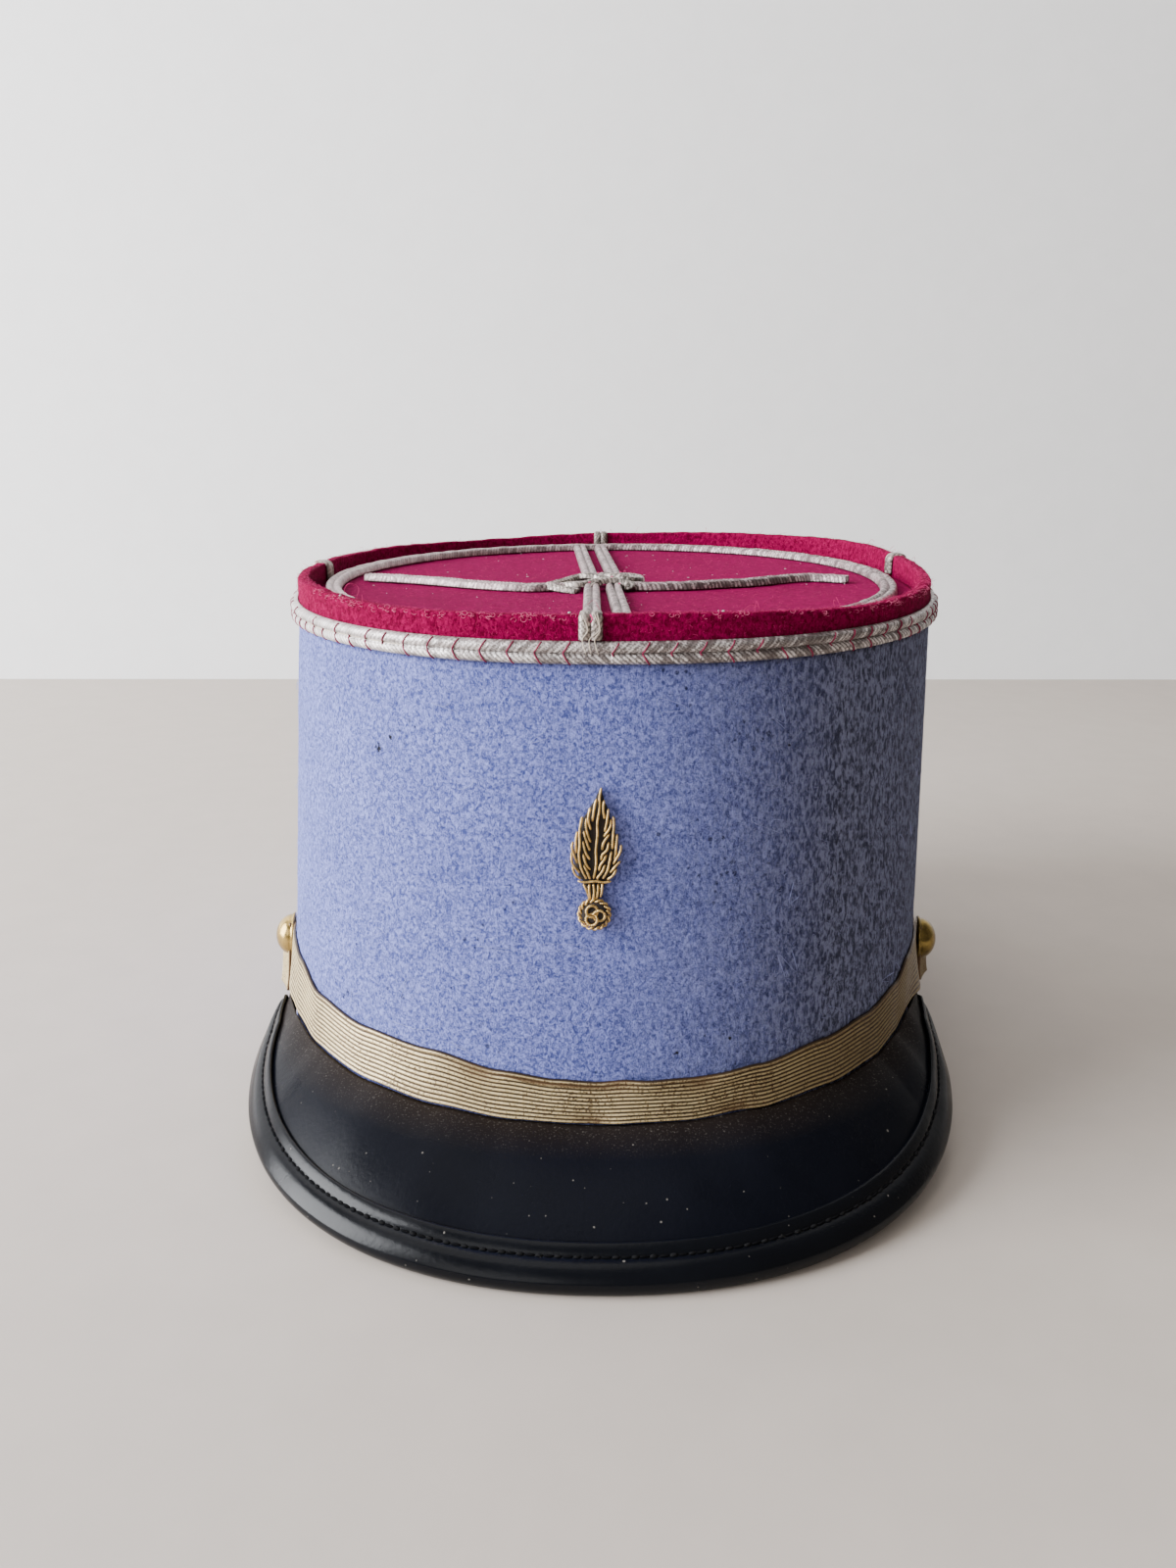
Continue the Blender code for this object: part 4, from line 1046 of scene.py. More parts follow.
def chin_strap(finish):
    """Ribbed gold band with slight wrinkles."""
    angle = np.linspace(STRAP_EDGES[0][0], STRAP_EDGES[-1][0], 440)[:, None]
    across = np.linspace(0, 1, STRAP_RIBS * 6 + 1)[None]
    rib = np.abs(np.sin(np.pi * STRAP_RIBS * across)) ** 0.75
    angle, across, rib = np.broadcast_arrays(angle, across, rib)
    front = strap_surface(angle, across, 0.50 + 0.30 * rib)[0]
    back = strap_surface(*np.broadcast_arrays(angle[:, :1], np.linspace(1, 0, 5)[None]), 0.0)[0]
    worn = 0.5 + 0.5 * noise(np.stack([angle * 1.4, across * STRAP_WIDTH, across * 0], -1), 5.0, 33)
    for middle in STRAP_WORN_AT:
        worn = worn + 0.55 * bell(angle, middle, 2.5)
    start = 0.925 - 0.085 * np.clip((angle + 13) / 4, 0, 1) * np.clip((3.5 - angle) / 2, 0, 1)
    border_and_shade = np.clip((across - start) / 0.02, 0, 1) * np.clip((0.972 - across) / 0.008, 0, 1)
    # Painted shadow: past 63.2 degrees each end goes dark, as a gap in shadow beside the tabs.
    border_and_shade = np.maximum(border_and_shade, np.clip((np.abs(angle) - 63.2) / 0.5, 0, 1))
    # Painted shade in the folds.
    for fold in STRAP_FOLDS:
        border_and_shade = np.maximum(border_and_shade, 0.85 * fold_share(angle, across, fold))
    galon_piece("chin_strap_galon", front, back, (rib, np.clip(worn, 0, 1), border_and_shade), 0, "chin_strap", finish)


def strap_tabs(finish):
    """Doubled strap ends that hang from the buttons."""
    below = BUTTON_LEVEL - BUTTON_RADIUS - GAP
    for side, name, low, sunk in TABS:
        middle, across, rise, normal = wall_frame(side * BUTTON_PLACE, BUTTON_LEVEL)
        level = np.linspace(low, TAB_TOP, 40)[:, None]
        share = np.linspace(-1, 1, 61)[None]
        rib = np.abs(np.sin(np.pi * 5 * (share + 1))) ** 0.75
        level, share, rib = np.broadcast_arrays(level, share, rib)
        hang = np.maximum(0, below - level) / (below - low)
        flare = 0.4 * TAB_FLARE * hang**2 - 0.25 * (1 - share**2) * hang
        turned = TAB_TURN * (0.35 + 0.65 * np.clip((TAB_TOP - level) / 8, 0, 1)) * (1 + side * share) / 2
        base = TAB_STAND - 0.6 * sunk + flare + turned
        place = middle + across * (share * TAB_WIDTH / 2)[..., None]
        place = place + rise * (level - BUTTON_LEVEL)[..., None]
        front = place + normal * (base + 0.52 + 0.26 * rib)[..., None]
        back = (place + normal * base[..., None])[:, ::-12]
        hem = np.clip((np.abs(share) - 0.90) / 0.06, 0, 1)
        marks = (rib, rib * 0 + 0.4, hem)
        galon_piece("strap_tab_galon_" + name, front, back, marks, 1, "strap_tab_" + name, finish)


def buttons(finishes):
    """Plain domed buttons with a thin rolled edge."""
    for (side, name, _, sunk), finish in zip(TABS, finishes):
        place, across, rise, normal = wall_frame(side * BUTTON_PLACE, BUTTON_LEVEL)
        place = place + normal * (3 * GAP + STRAP_THICKNESS + TAB_THICKNESS + 0.4 - sunk)
        profile = [(0.02, BUTTON_FLANGE + BUTTON_DOME)]
        for turn in np.radians(np.linspace(6, 84, 14)):
            reach = (BUTTON_RADIUS - 0.5) * math.sin(turn)
            profile.append((reach, BUTTON_FLANGE + BUTTON_DOME * math.cos(turn)))
        for turn in np.radians((120, 60, 0, -60)):
            reach = BUTTON_RADIUS - BUTTON_ROLL + BUTTON_ROLL * math.cos(turn)
            profile.append((reach, BUTTON_ROLL + BUTTON_ROLL * math.sin(turn)))
        profile = np.array(profile + [(0.02, 0.0)])
        turn = np.radians(round_angles(48))
        ring = across * np.cos(turn)[:, None] + rise * np.sin(turn)[:, None]
        points = place + ring[None] * profile[:, 0][:, None, None] + normal * profile[:, 1][:, None, None]
        loft_piece(
            "button_dome_" + name, points, False, material=finish, slot="gilt_metal",
            replaces=["button_" + name],
        )


def peak_outline(shares):
    """Edge of the peak's leather, at shares of its length from the left corner to the right one."""
    rest = EDGE_RADIUS + PEAK_THICKNESS / 2 - EDGE_REST_CUT
    front = -(BASE_FRONT_REACH + PEAK_REACH)
    corner = wall_at(PEAK_SPAN, PEAK_CORNER_LEVEL, 3 * GAP + PEAK_THICKNESS + EDGE_LEATHER)[0]
    turn = np.radians(np.linspace(0, 90, 181))
    x = PEAK_HALF_WIDTH * np.sin(turn) ** (2 / PEAK_ROUNDNESS)
    y = PEAK_WIDEST_AT + (front - PEAK_WIDEST_AT) * np.maximum(0, np.cos(turn)) ** (2 / PEAK_ROUNDNESS)
    part = np.linspace(0, 1, 31)[1:]
    x = np.concatenate([x, mix(PEAK_HALF_WIDTH, corner[0], part**2)])
    y = np.concatenate([y, mix(PEAK_WIDEST_AT, corner[1], part)])
    share = np.maximum(0, (y - front) / (corner[1] - front))
    right = np.stack([x, y, mix(rest, corner[2], share**PEAK_DROOP)], axis=1)
    left = right[:0:-1] * np.array([-1, 1, 1])
    fine = np.vstack([left, right])
    near_corner = np.clip((fine[:, 1] - front) / (corner[1] - front), 0, 1) ** 7
    fine[:, 2] += np.where(fine[:, 0] < 0, *PEAK_CORNER_LIFTS) * near_corner
    fine[:, 0] -= PEAK_CORNER_TUCK * np.sign(fine[:, 0]) * near_corner
    lengths = distances(fine)
    return at_distances(shares * lengths[-1], lengths, fine)


class PeakShape:
    """Curved upper face of the peak, between its seam on the crown and its edge."""

    def __init__(self, steps):
        even = np.linspace(-1, 1, steps)
        side = (even + np.sin(even * np.pi / 2)) / 2
        self.angle = side * PEAK_SPAN
        level = seam_level(self.angle)
        self.edge = peak_outline((side + 1) / 2)
        stand_off = np.full(steps, GAP)
        for _ in range(4):
            self.seam, wall_normal = wall_at(self.angle, level, stand_off)
            along = np.gradient(self.edge + self.seam, axis=0)
            self.lift = unit(np.cross(self.edge - self.seam, along))
            lean = np.sum(self.frame(np.zeros(steps))[1] * wall_normal, axis=1)
            stand_off = GAP + PEAK_THICKNESS * np.maximum(0, lean)
        self.reach = np.linalg.norm(self.edge - self.seam, axis=1)

    def point(self, share):
        """Upper face at shares of the way from the seam to the edge."""
        chord = self.edge - self.seam
        length = np.linalg.norm(chord, axis=1)
        bulge = 4 * share * (1 - share) * PEAK_CROWN * length
        return self.seam + chord * share[:, None] + self.lift * bulge[:, None]

    def frame(self, share):
        """Directions away from the seam and out of the upper face."""
        outward = self.point(np.minimum(1, share + 0.01)) - self.point(np.maximum(0, share - 0.01))
        along = np.gradient(self.point(share), axis=0)
        normal = unit(np.cross(outward, along))
        return unit(np.cross(along, normal)), normal


def peak_leather(shape, finish):
    """Curved leather plate, a little uneven."""
    upper, lower, near = [], [], []
    for share in np.linspace(0, 1, 34):
        part = np.full(len(shape.seam), share)
        point, normal = shape.point(part), shape.frame(part)[1]
        uneven = 0.10 * noise(point, 14, 41) * min(1, 6 * share * (1 - share))
        upper.append(point + normal * uneven[:, None])
        lower.append(point - normal * PEAK_THICKNESS)
        near.append(np.clip(1 - share * shape.reach / 9.0, 0, 1))
    sections = np.stack(upper + lower[::-6], axis=1)
    value = np.stack(near + [near[0]] * len(lower[::-6]), axis=1)
    loft_piece(
        "peak_leather", sections, False, material=finish, slot="black_leather", replaces=["peak"],
        values={"near_seam": value},
    )


def flange_width(shape):
    return np.minimum(EDGE_FLANGE, 0.6 * shape.reach)


def peak_edge(shape, finish):
    """Leather rolled round the peak's edge, with a stitched flange on its upper face."""
    over = GAP + EDGE_LEATHER
    under = -PEAK_THICKNESS - GAP
    below = np.minimum(EDGE_UNDER_FLANGE, 0.4 * shape.reach)
    slim = 1 - 0.45 * np.abs(shape.angle / PEAK_SPAN) ** 24
    rows = [(-flange_width(shape), GAP)]
    rows += [(flange_width(shape) * across, over + up) for across, up in FLANGE_PROFILE]
    for turn in np.radians(np.linspace(75, -75, 15)):
        across = 2 * GAP + EDGE_RADIUS * math.cos(turn)
        up = math.sin(turn) + EDGE_FULLNESS * max(0.0, math.sin(turn))
        rows.append((slim * across, slim * EDGE_RADIUS * up - PEAK_THICKNESS / 2))
    low = under - EDGE_LEATHER
    rows += [(-1.1, low), (-below, low), (-below, under), (GAP, under), (GAP, GAP)]
    sections = []
    for across, up in rows:
        across, up = across + np.zeros(len(shape.seam)), up + np.zeros(len(shape.seam))
        share = 1 + np.minimum(0, across) / shape.reach
        outward, normal = shape.frame(share)
        point = shape.point(share) + outward * np.maximum(0, across)[:, None] + normal * up[:, None]
        point = point + normal * (0.05 * noise(point, 6, 43))[:, None]
        point[:, 2] = np.maximum(0, point[:, 2])
        sections.append(point)
    sections = np.stack(sections, axis=1)
    loft_piece(
        "peak_edge_leather", sections, False, material=finish, slot="black_leather", replaces=["peak_edging"],
        values={"near_seam": np.zeros(sections.shape[:2])},
    )


def peak_stitches(shape, thread_finish, dust_finish):
    """Dark thread stitches sunk in the flange's groove, with low leather humps between them."""
    share = 1 - STITCH_LINE * flange_width(shape) / shape.reach
    rise = shape.frame(share)[1]
    line = shape.point(share) + rise * (GAP + EDGE_LEATHER - 0.22)
    lengths = distances(line)
    arch = np.sin(np.linspace(0, np.pi, 9)) ** 0.5

    def seam_tube(start, stop, radius, sink):
        goals = np.linspace(start, stop, 9)
        up = at_distances(goals, lengths, rise)
        route = at_distances(goals, lengths, line) + up * (0.2 * arch - sink)[:, None]
        return tube_points(route, radius * (0.4 + 0.6 * arch), 8, up=up)

    threads, humps = [], []
    for start in np.arange(3.0, lengths[-1] - 6.0, STITCH_PITCH):
        start = start + chance.uniform(-0.12, 0.12)
        stop = start + STITCH_LENGTH
        threads.append(seam_tube(start, stop, 0.24, 0.15))
        humps.append(seam_tube(stop + 0.1, start + STITCH_PITCH - 0.1, chance.uniform(0.28, 0.40), 0.16))
    tubes_piece("peak_stitches", threads, material=thread_finish)
    tubes_piece("peak_stitch_humps", humps, material=dust_finish, slot="black_leather")


def on_wall(points, out):
    """Points moved onto the crown's wall at their own level, and then out of it."""
    x, y, z = points.T
    share = (z - base_height(y)) / (top_height(y) - base_height(y))
    x = x - TOP_LEAN_RIGHT * share
    y = y - TOP_SHIFT_BACK * share
    return wall_share(np.degrees(np.arctan2(y, x)) + 90, share, out)[0]


def badge_points(offsets, out):
    """Points on the front wall from offsets across and up from the flame's foot."""
    place, across, rise, _ = wall_frame(BADGE_CENTER, STEM_LEVEL)
    offsets = np.asarray(offsets, dtype=float)
    points = place + across * offsets[..., :1] + rise * offsets[..., 1:2]
    out = np.broadcast_to(out, points.shape[:-1]).ravel()
    return on_wall(points.reshape(-1, 3), out).reshape(points.shape)


def wire_tube(route, normal, radius=WIRE_RADIUS):
    """A wound gold wire along a route, closed and rounded at its ends."""
    run = np.arange(len(route))
    end = np.clip(np.minimum(run, run[::-1]) / 3, 0, 1) ** 0.5
    return tube_points(route, radius * (0.35 + 0.65 * end), 9, up=normal, coil=(1 / WIRE_PITCH, WIRE_DEPTH))


def badge(finish, shade_ground_finish):
    """Flaming grenade of wound gold wires on a near-black sheet, painted shade between the wires."""
    _, _, _, normal = wall_frame(BADGE_CENTER, STEM_LEVEL)
    height = np.linspace(FLAME_SHADE_GROUND[0][0], FLAME_SHADE_GROUND[-1][0], 60)[:, None]
    share = np.linspace(0, 1, 13)[None]
    left, right = (eased(FLAME_SHADE_GROUND[::-1], height, side) for side in (1, 2))
    flat = np.stack(np.broadcast_arrays(mix(left, right, share), height), -1)
    dome = 0.25 + 0.35 * np.sin(np.pi * share) ** 0.6
    ground = np.concatenate([badge_points(flat, GAP + dome), badge_points(flat[:, ::-4], GAP)], axis=1)
    loft_piece("badge_shade_ground", ground, False, material=shade_ground_finish)
    tubes = []
    for number, wire in enumerate(FLAME_WIRES):
        route = smooth_route([(across, up, 0.0) for across, up in wire], 0.11)
        share = np.linspace(0, 1, len(route))
        lift = GAP + 0.62 + 0.42 * np.sin(np.pi * share) ** 0.5 + 0.05 * (number % 3)
        tubes.append(wire_tube(badge_points(route[:, :2], lift), normal))
    tubes_piece("badge_flame_wires", tubes, material=finish, slot="gold_thread", replaces=["badge_flame"])
    badge_ball(finish, shade_ground_finish)


def badge_ball(finish, shade_ground_finish):
    """Small ball worked as a knot of gold wires on a near-black mound, painted shade between the wires."""
    place, across, rise, normal = wall_frame(BADGE_CENTER, BALL_LEVEL)

    def spread(reach, turn, lift):
        ring = across * np.cos(turn)[:, None] + rise * np.sin(turn)[:, None]
        return place + ring * reach[:, None] + normal * lift[:, None]

    turn = np.radians(round_angles(32))
    mound = []
    for tilt in np.radians(np.linspace(-80, 80, 9)):
        level = GAP + 1.0 + 0.75 * math.sin(tilt)
        mound.append(spread(np.full(32, 2.7 * math.cos(tilt)), turn, np.full(32, level)))
    loft_piece("badge_ball_shade_ground", np.array(mound), False, material=shade_ground_finish)
    tubes = []
    turn = np.linspace(0, 2 * np.pi, 230)
    for phase in (0.0, np.pi):
        twist = 8 * turn + phase
        ring = spread(BALL_RING + 0.33 * np.cos(twist), turn, GAP + 0.85 + 0.30 * np.sin(twist))
        tubes.append(wire_tube(ring, normal))
    turn = np.linspace(0.4, 4 * np.pi + 0.4, 330)
    weave = GAP + 1.75 + 0.22 * np.sin(1.5 * turn)
    loops = spread(BALL_LOOPS[0] + BALL_LOOPS[1] * np.cos(1.5 * turn), turn, weave)
    tubes.append(wire_tube(loops, normal, 0.28))
    tubes_piece("badge_ball_wires", tubes, material=finish, slot="gold_thread", replaces=["badge_ball"])


def fuzz_piece(name, roots, normals, length, radius, rise_share, finish):
    """Short bent fibres that stand on a surface, each a closed three-sided spike."""
    count = len(roots)
    level = unit(np.cross(normals, UP))
    turn = chance.uniform(0, 2 * np.pi, count)[:, None]
    lay = level * np.cos(turn) + unit(np.cross(level, normals)) * np.sin(turn)
    reach = length * chance.uniform(0.45, 1.5, count)[:, None]
    lift = rise_share * chance.uniform(0.3, 1.4, count)[:, None]
    bend = unit(np.cross(normals, lay)) * chance.normal(0, 0.35, count)[:, None]
    middle = roots + (lay * 0.5 + normals * lift * 0.6) * reach
    tip = roots + (lay + bend + normals * lift * chance.uniform(0.2, 1.2, count)[:, None]) * reach
    foot = roots - normals * 0.06
    side = unit(np.cross(lay, normals))
    thick = radius * chance.uniform(0.7, 1.4, count)[:, None]
    corners = [(0.0, 1.0), (0.87, -0.5), (-0.87, -0.5)]
    points = []
    for place, share in ((foot, 1.0), (middle, 0.8)):
        for out, up in corners:
            points.append(place + (side * out + normals * up) * thick * share)
    points.append(tip)
    points = np.stack(points, axis=1)
    first = np.arange(count)[:, None, None] * 7
    quads = np.array([(0, 1, 4, 3), (1, 2, 5, 4), (2, 0, 3, 5)])[None] + first
    triangles = np.array([(3, 4, 6), (4, 5, 6), (5, 3, 6), (2, 1, 0)])[None] + first
    return mesh_piece(name, points, quads, triangles=triangles, material=finish)


def crown_fuzz(finish):
    """Loose nap on the blue cloth, scattered at random over it."""
    count = 9200
    angle = chance.uniform(0, 360, count)
    share = chance.uniform(0.02, 0.985, count)
    points, normals = wall_share(angle, share)
    fuzz_piece("crown_fuzz", points, normals, 1.1, 0.028, 0.28, finish)


def rim_fuzz(finish):
    """Loose nap on the crimson upstand and on the plate."""
    count = 3900
    angle = chance.uniform(0, 360, count)
    lift = rim_lift(angle) * chance.uniform(0.05, 0.96, count)
    outer, normals = top_at(angle, lift)
    inner, _ = top_at(angle, lift, -RIM_THICKNESS)
    inside = chance.random(count) < 0.35
    points = np.where(inside[:, None], inner, outer)
    normals = np.where(inside[:, None], -normals, normals)
    crest = top_at(angle[:2600], rim_lift(angle[:2600]) - 0.05, -RIM_THICKNESS * chance.random(2600))[0]
    plate = np.stack([chance.uniform(-76, 82, 3000), chance.uniform(-88, 98, 3000), np.zeros(3000)], axis=1)
    reach = ((plate[:, 0] - TOP_LEAN_RIGHT) / 74) ** 2 + ((plate[:, 1] - TOP_SHIFT_BACK) / 90) ** 2
    plate = on_plate(plate[reach < 0.97], 0.02)
    points = np.vstack([points, crest, plate])
    lying = np.broadcast_to(UP, crest.shape) + np.array([0.01, 0.0, 0.0])
    flat = np.broadcast_to(UP, plate.shape) + np.array([0.01, 0.0, 0.0])
    normals = unit(np.vstack([normals, lying, flat]))
    fuzz_piece("rim_fuzz", points, normals, 0.9, 0.030, 0.35, finish)


def edge_stitches(finish):
    """Small crimson stitches across the edge braid, some of them worn away."""
    angle, _, _, length = ring_route(lambda a: top_at(a, EDGE_BRAID_WIDTH / 2), 0.13)
    run = np.linspace(0, length, len(angle), endpoint=False)
    tubes = []
    for start in np.arange(0.0, length - 6.0, STITCH_GAP):
        start = start + chance.uniform(-0.3, 0.3)
        worn = chance.random()
        first, last = (-0.95, 0.95) if worn < 0.65 else ((-0.95, 0.1) if worn < 0.85 else (-0.2, 0.9))
        side = np.linspace(first, last, 22)
        goal = start + 1.5 * np.abs(side)
        turn = np.interp(goal % length, run, angle)
        out = SEAT + EDGE_BRAID_HEIGHT * braid_ridges(side)[0] + 0.02
        route = top_at(turn, EDGE_BRAID_WIDTH / 2 * (1 + side), out)[0]
        tubes.append(tube_points(route, STITCH_RADIUS, 6))
    tubes_piece("edge_stitches", tubes, material=finish)


def loose_thread(name, points, radius, finish):
    """One thread along a smooth route, thinner at its ends."""
    route = smooth_route(points, 0.25)
    run = np.arange(len(route))
    end = np.clip(np.minimum(run, run[::-1]) / 4, 0.2, 1)
    up = np.array([0.3, 0.2, 1.0])
    tubes_piece(name, [tube_points(route, radius * end, 6, up=up)], material=finish)


def loose_threads(pale, crimson):
    """Threads that have worked loose in the edge braid, at the front riser and on the rim."""
    angle = np.linspace(-84, -24, 40)
    drift = EDGE_BRAID_WIDTH / 2 + 0.12 * np.sin(angle / 3.0)
    route = top_at(angle, drift, SEAT + EDGE_BRAID_HEIGHT * 0.45 + 0.25)[0]
    loose_thread("groove_thread", route, 0.14, pale)
    front = RISERS[0][1]
    lift = rim_lift(front)
    out = GAP + RISER_HEIGHT
    for number, (start, stop) in enumerate(((-1.0, -0.4), (0.3, 0.9), (0.7, 0.1))):
        route = [
            top_at(front + start, lift + 0.9, out + 0.1)[0],
            top_at(front + mix(start, stop, 0.4) + 0.5, lift - 2.5, out + 0.5)[0],
            top_at(front + mix(start, stop, 0.8) - 0.3, EDGE_BRAID_WIDTH + 0.5, out + 0.3)[0],
            top_at(front + stop, EDGE_BRAID_WIDTH - 2.4, GAP + EDGE_BRAID_HEIGHT + 0.4)[0],
        ]
        loose_thread(f"riser_thread_{number}", route, 0.10, pale)
    turn = np.radians(np.linspace(-60, 230, 12))
    middle = top_at(-35.0, rim_lift(-35.0) + 1.6, -1.2)[0]
    loop = middle + np.stack([1.5 * np.cos(turn), 0.4 * np.sin(3 * turn), 1.6 * np.sin(turn)], axis=1)
    loop[[0, -1], 2] -= 0.6
    loose_thread("rim_loop", loop, 0.05, crimson)


def rim_hairs(finish):
    """Hairs that stand up from the rim."""
    hairs = []
    for _ in range(46):
        angle = chance.uniform(0, 360)
        start, normal = top_at(angle, rim_lift(angle) - 0.1, chance.uniform(-RIM_THICKNESS, 0.1))
        lean = chance.normal(0, 1, 3) * np.array([1.2, 1.2, 0.5]) + normal * 0.5
        stop = start + lean + UP * chance.uniform(0.3, 1.3)
        bend = mix(start, stop, 0.5) + chance.normal(0, 0.5, 3) + UP * 0.5
        hairs.append(tube_points(smooth_route([start, bend, stop], 0.25), 0.035, 5))
    tubes_piece("rim_hairs", hairs, material=finish)


def rim_loops(finish):
    """Small pale loops of wool along the front of the rim's edge; their pale pink is partly a painted
    highlight.
    """
    loops = []
    for _ in range(170):
        angle = chance.uniform(-46, -2) if chance.uniform() < 0.7 else chance.uniform(2, 60)
        middle = top_at(angle, rim_lift(angle) + chance.uniform(-1.1, 0.15), 0.12)[0]
        turn = np.radians(np.linspace(0, chance.uniform(150, 300), 7)) + chance.uniform(0, 6)
        reach = chance.uniform(0.2, 0.6)
        loop = middle + reach * np.stack([np.cos(turn), 0.25 * np.sin(2 * turn), 0.7 * np.sin(turn)], axis=1)
        loops.append(tube_points(smooth_route(loop, 0.15), 0.035, 5))
    tubes_piece("rim_loops", loops, material=finish)


def crimson_flecks(finish):
    """Short crimson threads that show in the knot and at the front riser."""
    flecks = []
    for x, y, lift in KNOT_FLECKS:
        start = on_plate([(x, y)], lift)[0]
        stop = start + np.array([0.5, -0.5, 0.15])
        flecks.append(tube_points([start, mix(start, stop, 0.5) + UP * 0.1, stop], 0.13, 6))
    front = RISERS[0][1]
    start = top_at(front, rim_lift(front) + 0.2, GAP + RISER_HEIGHT - 0.2)[0]
    flecks.append(tube_points([start, start + (0.5, -0.2, -0.8), start + (0.1, -0.2, -1.5)], 0.16, 6))
    tubes_piece("crimson_flecks", flecks, material=finish)


def lint_specks(finish):
    """Specks of lint on the plate and three larger ones on the rim."""
    specks = []
    for _ in range(70):
        place = np.array([chance.uniform(-62, 68), chance.uniform(-75, 85), 0.0])
        place = on_plate(place[None], 0.12)[0]
        along = unit(np.array([chance.normal(), chance.normal(), 0.0])) * chance.uniform(0.1, 0.4)
        specks.append(tube_points([place - along, place, place + along], [0.03, 0.09, 0.03], 6))
    along = np.array([0.28, 0.05, 0.02])
    for angle, out in ((-37.5, -0.8), (-4.7, -1.8), (12.5, -1.9)):
        place = top_at(angle, rim_lift(angle) + 0.1, out)[0]
        specks.append(tube_points([place - along, place, place + along], [0.08, 0.22, 0.1], 6))
    tubes_piece("lint_specks", specks, material=finish)


def wool_hairs(finish):
    """Long loose hairs that lie on the blue cloth."""
    hairs = []
    for _ in range(120):
        angle = chance.uniform(0, 360)
        level = chance.uniform(14, 92)
        sway = chance.normal(0, 1.4, (4, 2))
        route = []
        for step, (turn, rise) in enumerate(sway):
            route.append(wall_at(angle + turn, level + rise + step * 0.5, chance.uniform(0.1, 0.75))[0])
        hairs.append(tube_points(smooth_route(route, 0.4), 0.035, 4, up=np.array([0.2, 0.3, 1.0])))
    tubes_piece("wool_hairs", hairs, material=finish)


def softbox(name, place, size, power, colour):
    """Soft area light aimed at the cap. Its place and size are in metres."""
    light = bpy.data.lights.new(name, "AREA")
    light.shape = "RECTANGLE"
    light.size, light.size_y = size
    light.energy = power
    light.color = colour
    obj = bpy.data.objects.new(name, light)
    obj.location = place
    obj.rotation_euler = (Vector(LIGHT_AIM) - Vector(place)).to_track_quat("-Z", "Y").to_euler()
    obj.visible_camera = False
    bpy.context.scene.collection.objects.link(obj)


def studio():
    """Plain pale table and wall, a soft key light from the left and a low fill."""
    table_finish = plain_finish("pale_table", (0.50, 0.44, 0.39), 0.7, grain=60, contrast=0.05)
    wall_finish = plain_finish("pale_wall", (0.86, 0.86, 0.86), 0.9, grain=60, contrast=0.03)
    for name, corners, finish in (
        ("table", ((-4, -4, 0), (4, -4, 0), (4, WALL_AT, 0), (-4, WALL_AT, 0)), table_finish),
        ("wall", ((-4, WALL_AT, 0), (4, WALL_AT, 0), (4, WALL_AT, 4), (-4, WALL_AT, 4)), wall_finish),
    ):
        mesh = bpy.data.meshes.new(name)
        mesh.from_pydata(corners, [], [(0, 1, 2, 3)])
        obj = bpy.data.objects.new(name, mesh)
        mesh.materials.append(finish)
        bpy.context.scene.collection.objects.link(obj)
    world = bpy.data.worlds.new("studio")
    world.use_nodes = True
    world.node_tree.nodes["Background"].inputs["Color"].default_value = (1.0, 0.92, 0.84, 1.0)
    world.node_tree.nodes["Background"].inputs["Strength"].default_value = 0.25
    bpy.context.scene.world = world
    softbox("key", (-1.35, -0.35, 0.60), (1.0, 1.2), 84.0, (0.95, 0.97, 1.0))
    softbox("front", (-0.7, -1.5, 0.9), (1.0, 1.0), 7.0, (1.0, 0.99, 0.97))
    softbox("top", (-0.3, 0.1, 1.3), (1.2, 1.0), 6.0, (1.0, 0.98, 0.96))


def camera():
    """The photo's view: nearly level with the hat and looking down on it a little."""
    data = bpy.data.cameras.new("photo_view")
    data.sensor_width = 36
    data.lens = CAMERA_LENS
    data.clip_start = 0.01
    obj = bpy.data.objects.new("photo_view", data)
    down, turn, roll = (math.radians(angle) for angle in (CAMERA_DOWN, CAMERA_TURN, CAMERA_ROLL))
    aim = Vector((math.sin(turn) * math.cos(down), math.cos(turn) * math.cos(down), -math.sin(down)))
    right = Vector((math.cos(turn), -math.sin(turn), 0))
    up = right.cross(aim)
    across = right * math.cos(roll) + up * math.sin(roll)
    rise = up * math.cos(roll) - right * math.sin(roll)
    matrix = Matrix((across, rise, -aim)).transposed().to_4x4()
    matrix.translation = Vector(CAMERA_PLACE) / 1000 + Vector(FRAME_SHIFT) / 1000
    obj.matrix_world = matrix
    bpy.context.scene.collection.objects.link(obj)
    bpy.context.scene.camera = obj


# The blue wool's last colour is the painted shade that greys it towards the right.
blue_felt = felt_finish(
    "blue_wool", (0.055, 0.070, 0.25), (0.30, 0.34, 0.82), 1150, (0.70, 0.76, 1.0, 0.15),
    pits=0.34, moth_holes=MOTH_HOLES, shade_grey=(0.20, 0.215, 0.34),
)
crimson_felt = felt_finish(
    "crimson_wool", (0.10, 0.0, 0.016), (0.31, 0.0, 0.068), 900, (1.0, 0.02, 0.15, 0.04)
)
plate_felt = felt_finish(
    "plate_wool", (0.16, 0.0, 0.040), (0.27, 0.0, 0.075), 700, (1.0, 0.05, 0.25, 0.03)
)
blue_fibre = fibre_finish("blue_fibre", (0.42, 0.46, 0.85))
crimson_fibre = fibre_finish("crimson_fibre", (0.62, 0.02, 0.16))
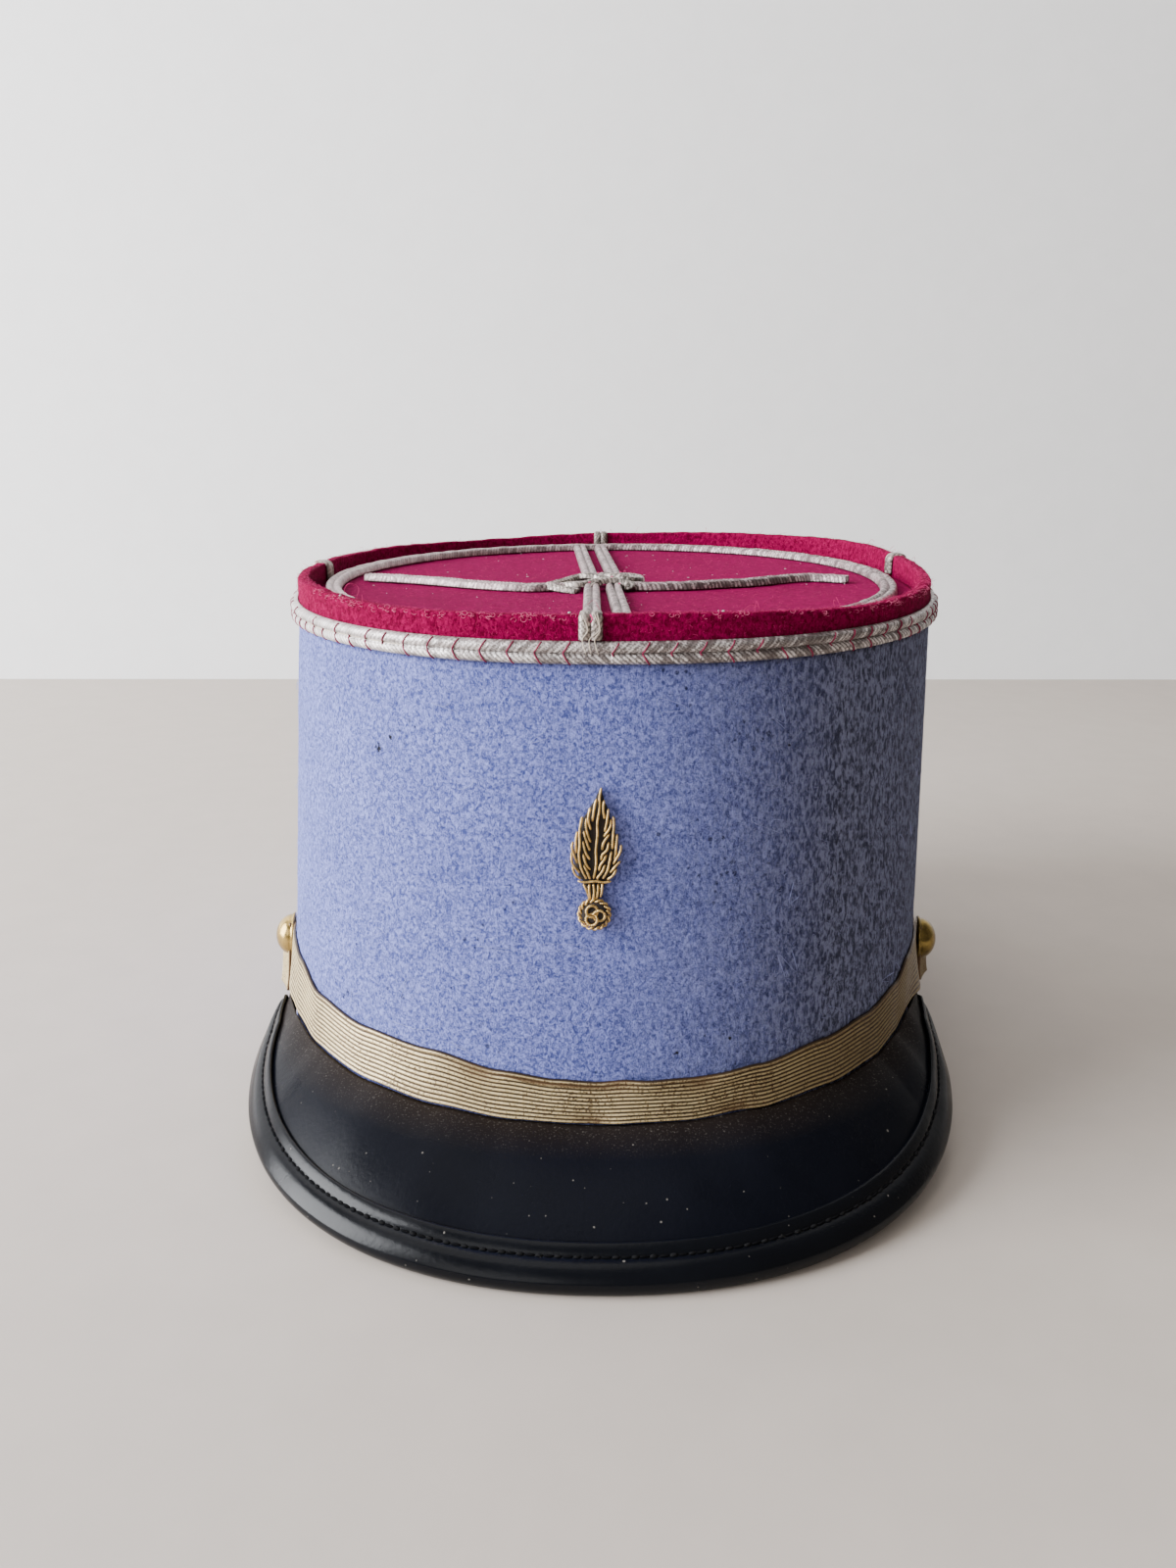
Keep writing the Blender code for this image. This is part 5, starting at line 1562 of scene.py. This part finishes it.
# Pale pink wool for the rim's loops, partly a painted highlight on the lit edge.
pink_highlight_fibre = fibre_finish("pink_highlight_fibre", (0.85, 0.16, 0.32))
silver = braid_finish("silver_thread", (0.95, 0.90, 0.88), (0.60, 0.48, 0.46), 0.45)
old_silver = braid_finish("tarnished_silver_thread", (0.84, 0.70, 0.70), (0.46, 0.30, 0.31), 0.7)
worn_silver = braid_finish("worn_silver_thread", (0.74, 0.66, 0.60), (0.36, 0.29, 0.25), 0.8)
gold_wire = plain_finish("gold_wire", (1.0, 0.67, 0.25), 0.32, metallic=0.75, grain=1300, contrast=0.75)
# Painted shade: the near-black sheet under the badge's gold wires.
badge_shade_dark = plain_finish("badge_shade_ground", (0.02, 0.014, 0.012), 0.9)
galon = strap_finish()
gilt = plain_finish("old_gilt", (0.58, 0.40, 0.13), 0.24, metallic=0.9, grain=500, contrast=0.45)
# Painted shade: the right button is a darker, duller copy of the left one's gilt.
shaded_gilt = plain_finish("shaded_gilt", (0.34, 0.24, 0.07), 0.22, metallic=0.9, grain=420, contrast=0.7)
leather = leather_finish("black_leather", (0.003, 0.0035, 0.006), (0.022, 0.014, 0.009), 0.26, 0.07, 0.45)
edge_leather = leather_finish("edge_leather", (0.002, 0.0025, 0.004), (0.03, 0.02, 0.015), 0.21, 0.17, 0.3)
stitch = plain_finish("dark_thread", (0.006, 0.006, 0.007), 0.95, grain=1200, contrast=0.6, specular=0.05)
dusty = plain_finish("dusty_leather", (0.010, 0.010, 0.011), 0.95, grain=1500, contrast=0.8, specular=0.12)
pale_thread = plain_finish("pale_thread", (0.72, 0.62, 0.50), 0.6)
lint = plain_finish("pale_lint", (0.75, 0.68, 0.68), 0.9)
crimson_thread = plain_finish("crimson_thread", (0.24, 0.003, 0.05), 0.7)

crown_cloth(blue_felt)
rim_cloth(crimson_felt)
plate_cloth(plate_felt)
round_braids(silver, old_silver)
for riser_name, riser_angle in RISERS:
    riser_braid(riser_name, riser_angle, worn_silver)
plate_cords(old_silver)
knot(worn_silver)
badge(gold_wire, badge_shade_dark)
chin_strap(galon)
strap_tabs(galon)
buttons((gilt, shaded_gilt))
peak_shape = PeakShape(420)
peak_leather(peak_shape, leather)
peak_edge(peak_shape, edge_leather)
peak_stitches(peak_shape, stitch, dusty)
edge_stitches(crimson_thread)
crown_fuzz(blue_fibre)
rim_fuzz(crimson_fibre)
loose_threads(pale_thread, crimson_fibre)
rim_hairs(crimson_fibre)
rim_loops(pink_highlight_fibre)
crimson_flecks(crimson_fibre)
lint_specks(lint)
wool_hairs(blue_fibre)
studio()
camera()

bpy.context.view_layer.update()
